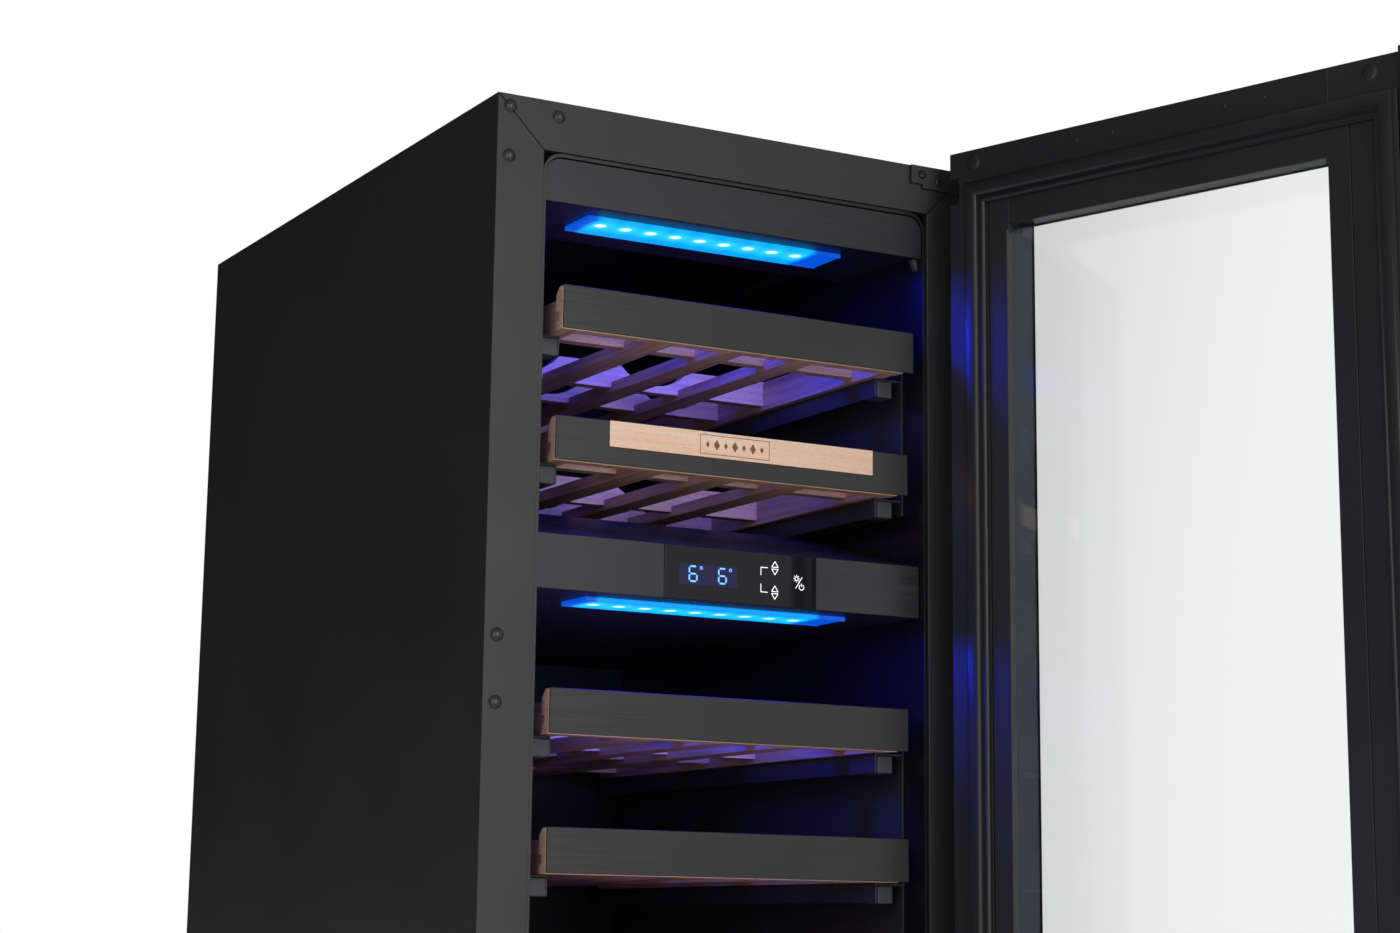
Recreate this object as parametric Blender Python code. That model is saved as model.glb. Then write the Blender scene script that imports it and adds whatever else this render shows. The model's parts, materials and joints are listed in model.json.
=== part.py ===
"""Dual-zone wine cooler with its glazed door standing open.

The cabinet is drawn with its front flanges at y = 0 and its underside at z = 0, and is then moved
back by half its depth, so that the origin is the centre of the underside. The front faces -Y.
"""
import math

import bmesh
import bpy
from mathutils import Matrix, Vector

# Overall size of the cabinet
WIDTH = 0.380
DEPTH = 0.555
HEIGHT = 0.834

# Sheet metal
SHEET = 0.0012
BASE_SHEET = 0.0015
STILE = 0.035
TOP_RAIL = 0.035
LIP = 0.010
REAR_FLANGE = 0.020
TOP_RETURN = 0.019
BASE_LIP = 0.020
GAP = 0.0003
MITRE_DEPTH = 0.011
OVERSHOOT = 0.005  # how far a cutting shape runs past the piece that it cuts

# Bottom of the front: kick grille, then the rail under the opening
GRILLE_RISE = 0.003
GRILLE_THICKNESS = 0.003
GRILLE_SLOT = 0.006
GRILLE_PITCH = 0.012
GRILLE_END = 0.015
GRILLE_BORDER = 0.012
GRILLE_TOP_GAP = 0.0005
RAIL_BOTTOM = 0.072
RAIL_TOP = 0.110
FLOOR_PLATE_Z = 0.078

# Machine bay at the rear
BAY_DEPTH = 0.191
BAY_HEIGHT = 0.175
PLATE_MARGIN = 0.0008
PLATE_FRONT_ROOM = 0.001
PARTITION_FRONT_ROOM = 0.002
FOAM_FRONT_ROOM = 0.0015
STEP_FOAM = 0.031
COVER_PLATE_RISE = 0.006
COVER_PLATE_LAP = 0.0085
BACK_PANEL_SEAM = 0.0005
LOUVRE_COLUMN = 0.120
LOUVRE_LENGTH = 0.090
LOUVRE_ROWS = 6
LOUVRE_BOTTOM = 0.066
LOUVRE_PITCH = 0.017
LOUVRE_WIDTH = 0.005

# Liner and what is fixed in it
LINER_WALL = 0.0025
LINER_CORNER = 0.014
LINER_SET_BACK = 0.0015
BACK_FOAM = 0.052
FASCIA_THICKNESS = 0.0025
FASCIA_SET_BACK = 0.003
FASCIA_DROP = 0.0335
FASCIA_SHELF_DEPTH = 0.107
FASCIA_SHELF_RISE = 0.0045
LED_LENGTH = 0.206
LED_WIDTH = 0.037
LED_THICKNESS = 0.0026
UPPER_LED_BACK = 0.032
LOWER_LED_BACK = 0.0182
DIVIDER_TOP_DROP = 0.2935
DIVIDER_FACE = 0.0367
DIVIDER_SLOPE_RUN = 0.1325
DIVIDER_SLOPE_RISE = 0.0355
DIVIDER_SET_BACK = 0.0098
CONTROL_LEFT = -0.0545
CONTROL_RIGHT = 0.0654
CONTROL_SET_BACK = 0.0068
CONTROL_THICKNESS = 0.0015
CONTROL_STAND_OUT = 0.0002
POCKET_MARGIN = 0.001
POCKET_RIM = 0.0044
POCKET_DEPTH = 0.0122
BOARD_MARGIN = 0.005
BOARD_RIM = 0.0064
BOARD_SET_IN = 0.0022
BOARD_THICKNESS = 0.0016
COVER_DEPTH = 0.042
COVER_WALL = 0.002
AIR_SLOTS_ASIDE = 4
AIR_SLOT_PITCH = 0.0085
AIR_SLOT_WIDTH = 0.005
BOSS_RADIUS = 0.011
BOSS_GAP = 0.0005
COVER_LIFT = 0.0004
COVER_STEP_LIFT = 0.001
COVER_TOP_GAP = 0.0008
COVER_HEAD_ROOM = 0.012
EVAPORATOR_THICKNESS = 0.010
EVAPORATOR_MARGIN = 0.020
EVAPORATOR_END = 0.018
EVAPORATOR_BACK_ROOM = 0.003

# Shelves, measured at the lower edge of each steel front trim
TRIM_HEIGHT = 0.0297
TRIM_THICKNESS = 0.0015
TRIM_OVERHANG = 0.008
SHELF_SET_BACK = 0.0105
TOP_SHELF_REST_OUT = 0.008
TOP_SHELF_DROP = 0.1546
UPPER_PITCH = 0.088
LOWER_HEAD = 0.0942
LOWEST_RISE = 0.0259
LOWER_SHELVES = 4
RACK_SIDE_ROOM = 0.0157
RACK_FRONT = 0.0102
TRIM_UNDERCUT = 0.0005
RACK_RAIL_WIDTH = 0.012
RACK_RAIL_HEIGHT = 0.022
RACK_REAR_ROOM = 0.0575
SHORT_RACK_BELOW = 0.016
SHORT_RACK_ROOM = 0.0125
SLAT_WIDTH = 0.018
SLAT_THICKNESS = 0.008
SLAT_SPREAD = 0.0022
BOARD_GROOVE_BOTTOM = 0.006
BOARD_GROOVE_DEPTH = 0.004
BOARD_CHAMFER = 0.005
RAIL_INSET = 0.002
GLUE_DEPTH = 0.001
LONG_RACK = 0.350
CROSS_1 = 0.048
CROSS_2 = 0.175
CROSS_3 = 0.245
CROSS_LAST = 0.030
SHORT_CROSS_LAST = 0.022
CROSS_THICKNESS = 0.010
CROSS_LOW = 0.003
CROSS_TOP = 0.022
BOTTLE_RADIUS = 0.038
BOTTLE_FLOOR = 0.0083
INLAY_LEFT = -0.0965
INLAY_RIGHT = 0.114
INLAY_LOW = 0.012
INLAY_THICKNESS = 0.0009

# Supports that the shelves slide on
SUPPORT_PLATE = 0.0017
SUPPORT_LEDGE = 0.0229
SUPPORT_LEDGE_THICKNESS = 0.0015
SUPPORT_LIP = 0.0136
SUPPORT_FRONT = 0.027
SUPPORT_REAR_ROOM = 0.0505
SUPPORT_END = 0.012
SUPPORT_STEP_ROOM = 0.008

# Levelling feet
FOOT_RADIUS = 0.017
FOOT_HEIGHT = 0.030
FOOT_STUD = 0.005
FOOT_STUD_RISE = 0.012
FOOT_EDGE = 0.001
FOOT_RIM = 0.006
FOOT_WAIST = 0.011
FOOT_NECK = 0.009
FOOT_NECK_DROP = 0.009
FOOT_INSET_X = 0.030
FOOT_INSET_Y = 0.040

# Door, as it stands when closed
DOOR_OPEN_DEGREES = 108
DOOR_RISE = 0.006
DOOR_BOTTOM = 0.072
DOOR_BACK = 0.008
DOOR_FRAME_DEPTH = 0.0367
DOOR_HINGE_MEMBER = 0.0335
DOOR_FREE_MEMBER = 0.036
DOOR_TOP_MEMBER = 0.040
DOOR_BOTTOM_MEMBER = 0.0335
OUTER_GLASS = 0.005
INNER_GLASS = 0.004
GASKET_WIDTH = 0.018
GASKET_ON_STILE = 0.0205
GASKET_EDGE = 0.001
SEAL_LINE_BOTTOM = 0.0925
PANE_MARGIN = 0.0025
INNER_TRIM_SLACK = 0.0005
INNER_TRIM_DEPTH = 0.0057
INNER_TRIM_SIDE = 0.016
INNER_TRIM_FREE = 0.0165
INNER_TRIM_TOP = 0.0198
INNER_TRIM_BOTTOM = 0.026
SPACER_WIDTH = 0.007
SPACER_INSET = 0.007
HANDLE_WIDTH = 0.022
HANDLE_DEPTH = 0.046
HANDLE_BACK = 0.006
HANDLE_UNDERRUN = 0.002
HANDLE_END = 0.061
HANDLE_OVERRUN = 0.0036
GRIP_DEPTH = 0.009
GRIP_BACK = 0.006
GRIP_FRONT = 0.010
GRIP_SPLAY = 0.005

# Hinges
HINGE_IN = 0.0098
HINGE_OUT = 0.0232
HINGE_LEAF = 0.0025
HINGE_ARM = 0.006
HINGE_PLATE = 0.003
HINGE_EYE = 0.0065
HINGE_PIN = 0.0035
HINGE_PIN_LENGTH = 0.016
HINGE_BORE_GAP = 0.0003
HINGE_BORE_END = 0.0005
HINGE_WELD = 0.0005
HINGE_NOTCH = 0.0012
HINGE_NOTCH_DEPTH = 0.0178
HINGE_NOTCH_DROP = 0.0155
LEAF_LENGTH = 0.040
TONGUE_LENGTH = 0.010
BOTTOM_LEAF_DROP = 0.026
TOP_ARM_DROP = 0.017
BOTTOM_ARM_Z = 0.066

# Fans and the refrigeration set
FAN_RADIUS = 0.038
FAN_HUB = 0.014
FAN_DEPTH = 0.014
FAN_ROOM = 0.003
BLADES = 5
BLADE_SINK = 0.002
BLADE_THICKNESS = 0.0014
BLADE_ROOT = 0.011
BLADE_BELLY = 0.020
BLADE_TIP = 0.016
BLADE_TILT = 35
CONDENSER_FAN_RADIUS = 0.046
FAN_FRAME = 0.110
FAN_FRAME_DEPTH = 0.024
FAN_FRAME_ROOM = 0.069
FAN_FRAME_WALL = 0.004
FAN_FRAME_STRUT = 0.016
STRUT_THICKNESS = 0.003
CONDENSER_FAN_ROOM = 0.079
CONDENSER_FAN_Z = 0.085
CONDENSER_INSET = 0.015
CONDENSER_WIDTH = 0.120
CONDENSER_DEPTH = 0.040
CONDENSER_ROOM = 0.024
CONDENSER_LOW = 0.020
CONDENSER_HIGH = 0.150
FINS = 11
FIN_THICKNESS = 0.003
FIN_HEADER = 0.004
TRAY_ROOM = 0.109
TRAY_LENGTH = 0.110
TRAY_DEPTH = 0.070
TRAY_HEIGHT = 0.020
TRAY_WALL = 0.002
TRAY_LIFT = 0.0005
TRAY_STUD_ROOM = 0.012
COMPRESSOR_INSET = 0.1285
COMPRESSOR_LIFT = 0.0035
COMPRESSOR_SEAM = 0.003
COMPRESSOR_RADIUS = 0.062
COMPRESSOR_HEIGHT = 0.145
GROMMET_RADIUS = 0.009
GROMMET_BORE = 0.0035
GROMMET_HOLE = 0.0065
GROMMET_COLLAR = 0.003
GROMMET_FLANGE = 0.001
GROMMET_INSET = 0.060
GROMMET_Z = 0.035

# Places worked out from the sizes above
HALF = WIDTH / 2
INNER_X = HALF - SHEET - GAP
BACK_INNER = DEPTH - 2 * SHEET - GAP
BACK_OUTER = DEPTH - SHEET - GAP
PLATE_REAR = BACK_INNER - PLATE_MARGIN
COVER_PLATE_TOP = BAY_HEIGHT + COVER_PLATE_LAP
BAY_FRONT = PLATE_REAR - BAY_DEPTH
OPENING_X = HALF - STILE - GAP
LINER_BOTTOM = RAIL_TOP + GAP
LINER_TOP = HEIGHT - TOP_RAIL - GAP
LINER_REAR = BACK_INNER - GAP - BACK_FOAM
LINER_STEP_Z = BAY_HEIGHT + SHEET + GAP + STEP_FOAM
LINER_STEP_Y = BAY_FRONT - SHEET - GAP - STEP_FOAM
CAVITY_X = OPENING_X - LINER_WALL
CAVITY_FLOOR = LINER_BOTTOM + LINER_WALL
CAVITY_TOP = LINER_TOP - LINER_WALL
CAVITY_REAR = LINER_REAR - LINER_WALL
CAVITY_STEP_Z = LINER_STEP_Z + LINER_WALL
CAVITY_STEP_Y = LINER_STEP_Y - LINER_WALL
FIT_X = CAVITY_X - GAP
DIVIDER_FRONT_TOP = HEIGHT - DIVIDER_TOP_DROP
DIVIDER_BOTTOM = DIVIDER_FRONT_TOP - DIVIDER_FACE
DIVIDER_TOP = DIVIDER_FRONT_TOP + DIVIDER_SLOPE_RISE
FASCIA_BOTTOM = LINER_TOP - FASCIA_DROP
FASCIA_SHELF_Z = FASCIA_BOTTOM + FASCIA_SHELF_RISE
COVER_FRONT = CAVITY_REAR - GAP - COVER_DEPTH
FAN_Y = COVER_FRONT + COVER_WALL + FAN_DEPTH / 2 + FAN_ROOM
RACK_REAR = CAVITY_REAR - RACK_REAR_ROOM
SUPPORT_REAR = CAVITY_REAR - SUPPORT_REAR_ROOM
RACK_HALF = CAVITY_X - RACK_SIDE_ROOM
LOWER_PITCH = (DIVIDER_BOTTOM - LOWER_HEAD - CAVITY_FLOOR - LOWEST_RISE) / (LOWER_SHELVES - 1)
UPPER_SHELF_Z = [HEIGHT - TOP_SHELF_DROP - UPPER_PITCH * n for n in range(2)]
LOWER_SHELF_Z = [DIVIDER_BOTTOM - LOWER_HEAD - LOWER_PITCH * n for n in range(LOWER_SHELVES)]
BOTTLE_PITCH = 2 * RACK_HALF / 5
HINGE_X = HALF - HINGE_IN
HINGE_Y = -HINGE_OUT
DOOR_TOP = HEIGHT + DOOR_RISE
DOOR_FREE = -HALF + HANDLE_WIDTH
DOOR_FRONT = -DOOR_BACK - DOOR_FRAME_DEPTH
GLAZED_HINGE = HALF - DOOR_HINGE_MEMBER
GLAZED_FREE = DOOR_FREE + DOOR_FREE_MEMBER
GLAZED_TOP = DOOR_TOP - DOOR_TOP_MEMBER
GLAZED_BOTTOM = DOOR_BOTTOM + DOOR_BOTTOM_MEMBER
PANE_BACK = -DOOR_BACK - GAP - INNER_TRIM_DEPTH - GAP
COMPRESSOR_AT = (INNER_X - COMPRESSOR_INSET, (BAY_FRONT + PLATE_REAR) / 2)
CONDENSER_LEFT = -HALF + CONDENSER_INSET
CONDENSER_FAN_X = CONDENSER_LEFT + CONDENSER_WIDTH / 2
SMOOTH_ANGLE = math.radians(35)


# ---- Drawing tools -------------------------------------------------------------------------------

def material(name, colour, roughness, metallic=0.0, alpha=1.0):
    """Plain finish for one kind of surface."""
    finish = bpy.data.materials.new(name)
    finish.use_nodes = True
    shader = finish.node_tree.nodes["Principled BSDF"]
    shader.inputs["Base Color"].default_value = (*colour, 1.0)
    shader.inputs["Roughness"].default_value = roughness
    shader.inputs["Metallic"].default_value = metallic
    shader.inputs["Alpha"].default_value = alpha
    return finish


def in_plane(axis, a, b, along):
    """The point (a, b) of the plane across an axis, so far along that axis."""
    if axis == "X":
        return Vector((along, a, b))
    if axis == "Y":
        return Vector((a, along, b))
    return Vector((a, b, along))


def as_object(name, bm):
    """Object that holds a finished bmesh, with all faces turned outwards."""
    bmesh.ops.recalc_face_normals(bm, faces=bm.faces)
    mesh = bpy.data.meshes.new(name)
    bm.to_mesh(mesh)
    bm.free()
    item = bpy.data.objects.new(name, mesh)
    bpy.context.scene.collection.objects.link(item)
    return item


def prism(name, outline, axis, start, end):
    """Solid made by drawing a closed outline out along an axis."""
    bm = bmesh.new()
    near = [bm.verts.new(in_plane(axis, a, b, start)) for a, b in outline]
    far = [bm.verts.new(in_plane(axis, a, b, end)) for a, b in outline]
    bm.faces.new(near)
    bm.faces.new(far)
    for i in range(len(outline)):
        bm.faces.new((near[i - 1], near[i], far[i], far[i - 1]))
    return as_object(name, bm)


def box(name, low, high):
    """Block between two opposite corners."""
    outline = [(low[0], low[1]), (high[0], low[1]), (high[0], high[1]), (low[0], high[1])]
    return prism(name, outline, "Z", low[2], high[2])


def boxes(name, corners):
    """Several blocks that don't touch, as one object to cut or join with."""
    return together(name, [box(name, low, high) for low, high in corners])


def together(name, parts):
    """One object from several solids that don't touch."""
    bm = bmesh.new()
    for part in parts:
        bm.from_mesh(part.data)
        bpy.data.objects.remove(part)
    return as_object(name, bm)


def arc(centre, radius, start, end, steps):
    """Points along a round corner, angles in degrees."""
    points = []
    for i in range(steps + 1):
        angle = math.radians(start + (end - start) * i / steps)
        points.append((centre[0] + radius * math.cos(angle), centre[1] + radius * math.sin(angle)))
    return points


def rounded_rectangle(low, high, radius, steps=5):
    """Outline of a rectangle with round corners."""
    outline = arc((high[0] - radius, high[1] - radius), radius, 0, 90, steps)
    outline += arc((low[0] + radius, high[1] - radius), radius, 90, 180, steps)
    outline += arc((low[0] + radius, low[1] + radius), radius, 180, 270, steps)
    outline += arc((high[0] - radius, low[1] + radius), radius, 270, 360, steps)
    return outline


def ring(name, outer, inner, start, end):
    """Rectangular frame across Y; outer and inner are (left, bottom, right, top)."""
    bm = bmesh.new()
    loops = []
    for left, bottom, right, top in (outer, inner):
        for y in (start, end):
            corners = [(left, y, bottom), (right, y, bottom), (right, y, top), (left, y, top)]
            loops.append([bm.verts.new(corner) for corner in corners])
    outer_near, outer_far, inner_near, inner_far = loops
    for one, other in ((outer_near, outer_far), (inner_near, inner_far),
                       (outer_near, inner_near), (outer_far, inner_far)):
        for i in range(4):
            bm.faces.new((one[i - 1], one[i], other[i], other[i - 1]))
    return as_object(name, bm)


def turned(name, profile, steps=32, hollow=False):
    """Solid of revolution about Z from (radius, height) points; a hollow one closes on itself."""
    bm = bmesh.new()
    rings = []
    for radius, height in profile:
        count = steps if radius > 0 else 1
        angles = [2 * math.pi * i / steps for i in range(count)]
        rings.append([bm.verts.new((radius * math.cos(t), radius * math.sin(t), height)) for t in angles])
    pairs = list(zip(rings, rings[1:]))
    if hollow:
        pairs.append((rings[-1], rings[0]))
    for low, high in pairs:
        for i in range(steps):
            corners = [low[(i - 1) % len(low)], low[i % len(low)]]
            corners += [high[i % len(high)], high[(i - 1) % len(high)]]
            bm.faces.new(list(dict.fromkeys(corners)))
    return as_object(name, bm)


def rod(name, radius, start, end, at, axis="Z", steps=24):
    """Round bar along an axis; `at` is its centre in the plane across that axis."""
    item = prism(name, arc((0, 0), radius, 0, 360 - 360 / steps, steps - 1), "Z", start, end)
    if axis == "Y":
        face_y(item)
    move(item, in_plane(axis, at[0], at[1], 0))
    return item


def face_y(item):
    """Turn a shape drawn along Z so that it runs along Y."""
    item.data.transform(Matrix.Rotation(math.radians(-90), 4, "X"))


def move(item, offset):
    """Move a shape within its object."""
    item.data.transform(Matrix.Translation(offset))


def combine(target, tools, operation):
    """Cut solids from a target, or join them to it, and keep the result as its mesh."""
    for tool in tools:
        step = target.modifiers.new(operation.lower(), "BOOLEAN")
        step.operation = operation
        step.solver = "EXACT"
        step.object = tool
    bpy.context.view_layer.update()
    graph = bpy.context.evaluated_depsgraph_get()
    result = bpy.data.meshes.new_from_object(target.evaluated_get(graph))
    target.modifiers.clear()
    target.data = result
    for tool in tools:
        bpy.data.objects.remove(tool)
    return target


def cut(target, *tools):
    return combine(target, tools, "DIFFERENCE")


def join(target, *tools):
    return combine(target, tools, "UNION")


def empty(name, parent, location, turn=0.0):
    """Unseen handle that a moving body hangs on."""
    handle = bpy.data.objects.new(name, None)
    handle.empty_display_size = 0.05
    handle.parent = parent
    handle.location = location
    handle.rotation_euler = (0, 0, turn)
    bpy.context.scene.collection.objects.link(handle)
    return handle


def fit(item, finish, parent, location=(0, 0, 0)):
    """Give a piece its finish and its place."""
    item.data.materials.clear()
    item.data.materials.append(finish)
    item.data.shade_smooth()
    item.data.set_sharp_from_angle(angle=SMOOTH_ANGLE)
    item.parent = parent
    item.location = location
    return item


def mirrored(outline, side):
    """Outline drawn for the left side (side = -1), or flipped for the right (side = 1)."""
    return [(-side * a, b) for a, b in outline]


# ---- Cabinet -------------------------------------------------------------------------------------

def side_panel(name, side):
    """Folded steel side: skin, front flange with its return lip, and rear flange."""
    edge = -HALF + STILE
    outline = [
        (-HALF, 0), (edge, 0), (edge, LIP), (edge - SHEET, LIP),
        (edge - SHEET, SHEET), (-HALF + SHEET, SHEET), (-HALF + SHEET, DEPTH - SHEET),
        (-HALF + REAR_FLANGE, DEPTH - SHEET), (-HALF + REAR_FLANGE, DEPTH), (-HALF, DEPTH)]
    panel = prism(name, mirrored(outline, side), "Z", 0, HEIGHT)
    slope = TOP_RAIL / STILE
    reach = STILE + OVERSHOOT
    mitre = [(-HALF + SHEET, HEIGHT - slope * SHEET - GAP), (-HALF + reach, HEIGHT - slope * reach - GAP),
             (-HALF + reach, HEIGHT + OVERSHOOT), (-HALF + SHEET, HEIGHT + OVERSHOOT)]
    return cut(panel, prism("mitre", mirrored(mitre, side), "Y", -OVERSHOOT, MITRE_DEPTH))


def top_panel():
    """Folded steel top, its front rail mitred to meet the stiles."""
    outline = [
        (0, HEIGHT), (0, HEIGHT - TOP_RAIL), (LIP, HEIGHT - TOP_RAIL), (LIP, HEIGHT - TOP_RAIL + SHEET),
        (SHEET, HEIGHT - TOP_RAIL + SHEET), (SHEET, HEIGHT - SHEET), (BACK_INNER, HEIGHT - SHEET),
        (BACK_INNER, HEIGHT - TOP_RETURN), (BACK_OUTER, HEIGHT - TOP_RETURN), (BACK_OUTER, HEIGHT)]
    panel = prism("top_panel", outline, "X", -INNER_X, INNER_X)
    slope = TOP_RAIL / STILE
    reach = STILE + OVERSHOOT
    mitres = []
    for side in (-1, 1):
        mitre = [(-HALF + SHEET, HEIGHT - slope * SHEET + GAP),
                 (-HALF + reach, HEIGHT - slope * reach + GAP),
                 (-HALF - OVERSHOOT, HEIGHT - slope * reach + GAP),
                 (-HALF - OVERSHOOT, HEIGHT - slope * SHEET + GAP)]
        mitres.append(prism("mitre", mirrored(mitre, side), "Y", -OVERSHOOT, MITRE_DEPTH))
    return cut(panel, *mitres)


def base_plate():
    """Folded steel base with a hole for each foot's stud."""
    front = LIP + PLATE_FRONT_ROOM
    outline = [(front, 0), (PLATE_REAR, 0), (PLATE_REAR, BASE_SHEET), (front + BASE_SHEET, BASE_SHEET),
               (front + BASE_SHEET, BASE_LIP), (front, BASE_LIP)]
    plate = prism("base_plate", outline, "X", -INNER_X, INNER_X)
    holes = [rod("hole", FOOT_STUD + GAP, -OVERSHOOT, OVERSHOOT, place) for place in foot_places()]
    return cut(plate, *holes)


def foot_places():
    across = HALF - FOOT_INSET_X
    return [(x, y) for x in (-across, across) for y in (FOOT_INSET_Y, DEPTH - FOOT_INSET_Y)]


def foot(name):
    """Levelling foot on its threaded stud, drawn about its own axis."""
    sole = -FOOT_HEIGHT
    return turned(name, [
        (0, sole), (FOOT_RADIUS - FOOT_EDGE, sole), (FOOT_RADIUS, sole + FOOT_EDGE),
        (FOOT_RADIUS, sole + FOOT_RIM), (FOOT_WAIST, sole + 2 * FOOT_RIM), (FOOT_NECK, -FOOT_NECK_DROP),
        (FOOT_STUD, -FOOT_NECK_DROP), (FOOT_STUD, FOOT_STUD_RISE - FOOT_EDGE),
        (FOOT_STUD - FOOT_EDGE, FOOT_STUD_RISE), (0, FOOT_STUD_RISE)], steps=24)


def bay_partition():
    """Stepped steel sheet under the insulation, which closes off the machine bay."""
    front = LIP + PARTITION_FRONT_ROOM
    outline = [(front, FLOOR_PLATE_Z), (BAY_FRONT, FLOOR_PLATE_Z), (BAY_FRONT, BAY_HEIGHT),
               (PLATE_REAR, BAY_HEIGHT), (PLATE_REAR, BAY_HEIGHT + SHEET),
               (BAY_FRONT - SHEET, BAY_HEIGHT + SHEET), (BAY_FRONT - SHEET, FLOOR_PLATE_Z + SHEET),
               (front, FLOOR_PLATE_Z + SHEET)]
    return prism("compartment_partition", outline, "X", -INNER_X, INNER_X)


def bottom_rail():
    """Folded rail across the front under the opening."""
    outline = [(0, RAIL_BOTTOM), (0, RAIL_TOP), (LIP, RAIL_TOP), (LIP, RAIL_TOP - SHEET),
               (SHEET, RAIL_TOP - SHEET), (SHEET, RAIL_BOTTOM + SHEET), (LIP, RAIL_BOTTOM + SHEET),
               (LIP, RAIL_BOTTOM)]
    return prism("bottom_front_rail", outline, "X", -OPENING_X, OPENING_X)


def kick_grille():
    """Plinth grille with a row of upright slots."""
    top = RAIL_BOTTOM - GRILLE_TOP_GAP
    grille = box("kick_grille", (-OPENING_X, 0, GRILLE_RISE), (OPENING_X, GRILLE_THICKNESS, top))
    count = int(2 * (OPENING_X - GRILLE_END) / GRILLE_PITCH)
    first = -(count - 1) / 2 * GRILLE_PITCH
    slots = []
    for i in range(count):
        x = first + i * GRILLE_PITCH
        low = (x - GRILLE_SLOT / 2, -OVERSHOOT, GRILLE_RISE + GRILLE_BORDER)
        slots.append((low, (x + GRILLE_SLOT / 2, GRILLE_THICKNESS + OVERSHOOT, top - GRILLE_BORDER)))
    return cut(grille, boxes("slots", slots))


def bay_cover():
    """Louvred steel cover over the machine bay, with the hole for the mains lead's grommet."""
    low = (-INNER_X, BACK_INNER, COVER_PLATE_RISE)
    cover = box("compressor_cover", low, (INNER_X, BACK_OUTER, COVER_PLATE_TOP))
    slots = []
    for centre in (-LOUVRE_COLUMN, 0.0, LOUVRE_COLUMN):
        for i in range(LOUVRE_ROWS):
            z = LOUVRE_BOTTOM + i * LOUVRE_PITCH
            slots.append(((centre - LOUVRE_LENGTH / 2, BACK_INNER - OVERSHOOT, z),
                          (centre + LOUVRE_LENGTH / 2, BACK_OUTER + OVERSHOOT, z + LOUVRE_WIDTH)))
    hole = rod("hole", GROMMET_HOLE, BACK_INNER - OVERSHOOT, BACK_OUTER + OVERSHOOT, grommet_place(), "Y")
    return cut(cover, boxes("slots", slots), hole)


def grommet_place():
    return (HALF - GROMMET_INSET, GROMMET_Z)


def cord_grommet():
    """Rubber grommet snapped into the cover, open through its middle."""
    neck = GROMMET_HOLE - GAP
    inside = BACK_INNER - GAP
    outside = BACK_OUTER + GAP
    grommet = turned("cord_grommet", [
        (GROMMET_BORE, inside - GROMMET_COLLAR), (GROMMET_RADIUS, inside - GROMMET_COLLAR),
        (GROMMET_RADIUS, inside), (neck, inside), (neck, outside), (GROMMET_RADIUS, outside),
        (GROMMET_RADIUS, outside + GROMMET_FLANGE), (GROMMET_BORE, outside + GROMMET_FLANGE)],
        steps=24, hollow=True)
    face_y(grommet)
    move(grommet, in_plane("Y", *grommet_place(), 0))
    return grommet


# ---- Liner and insulation ------------------------------------------------------------------------

def stepped_hollow(name, grow, front, radius):
    """Round-cornered block along Y with the step over the machine bay; grow is its margin."""
    low = (-OPENING_X - grow, LINER_BOTTOM - grow)
    high = (OPENING_X + grow, LINER_TOP + grow)
    block = prism(name, rounded_rectangle(low, high, radius), "Y", front, LINER_REAR + grow)
    step_low = (-HALF, LINER_STEP_Y + grow, 0)
    return cut(block, box("step", step_low, (HALF, DEPTH, LINER_STEP_Z - grow)))


def liner():
    """One-piece plastic inner box, open at the front."""
    shell = stepped_hollow("liner", 0, LINER_SET_BACK, LINER_CORNER)
    inside = stepped_hollow("inside", -LINER_WALL, LINER_SET_BACK - OVERSHOOT, LINER_CORNER - LINER_WALL)
    return cut(shell, inside)


def insulation():
    """Foam between the liner and the casing."""
    front = LIP + FOAM_FRONT_ROOM
    floor = FLOOR_PLATE_Z + SHEET + GAP
    bay_top = BAY_HEIGHT + SHEET + GAP
    bay_front = BAY_FRONT - SHEET - GAP
    outline = [(front, floor), (front, HEIGHT - SHEET - GAP), (BACK_INNER - GAP, HEIGHT - SHEET - GAP),
               (BACK_INNER - GAP, bay_top), (bay_front, bay_top), (bay_front, floor)]
    foam = prism("insulation_foam", outline, "X", -INNER_X, INNER_X)
    return cut(foam, stepped_hollow("room", GAP, front - OVERSHOOT, LINER_CORNER + GAP))


def top_fascia():
    """Brushed plate across the head of the opening, folded back into the lamp shelf."""
    low = FASCIA_BOTTOM
    high = CAVITY_TOP - GAP
    corner = LINER_CORNER - LINER_WALL - GAP
    outline = [(FIT_X, low)] + arc((FIT_X - corner, high - corner), corner, 0, 90, 5)
    outline += arc((-FIT_X + corner, high - corner), corner, 90, 180, 5) + [(-FIT_X, low)]
    plate = prism("top_fascia", outline, "Y", FASCIA_SET_BACK, FASCIA_SET_BACK + FASCIA_THICKNESS)
    shelf_low = (-FIT_X, FASCIA_SET_BACK + FASCIA_THICKNESS / 2, FASCIA_SHELF_Z)
    shelf_high = (FIT_X, FASCIA_SET_BACK + FASCIA_SHELF_DEPTH, FASCIA_SHELF_Z + FASCIA_THICKNESS)
    return join(plate, box("shelf", shelf_low, shelf_high))


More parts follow.
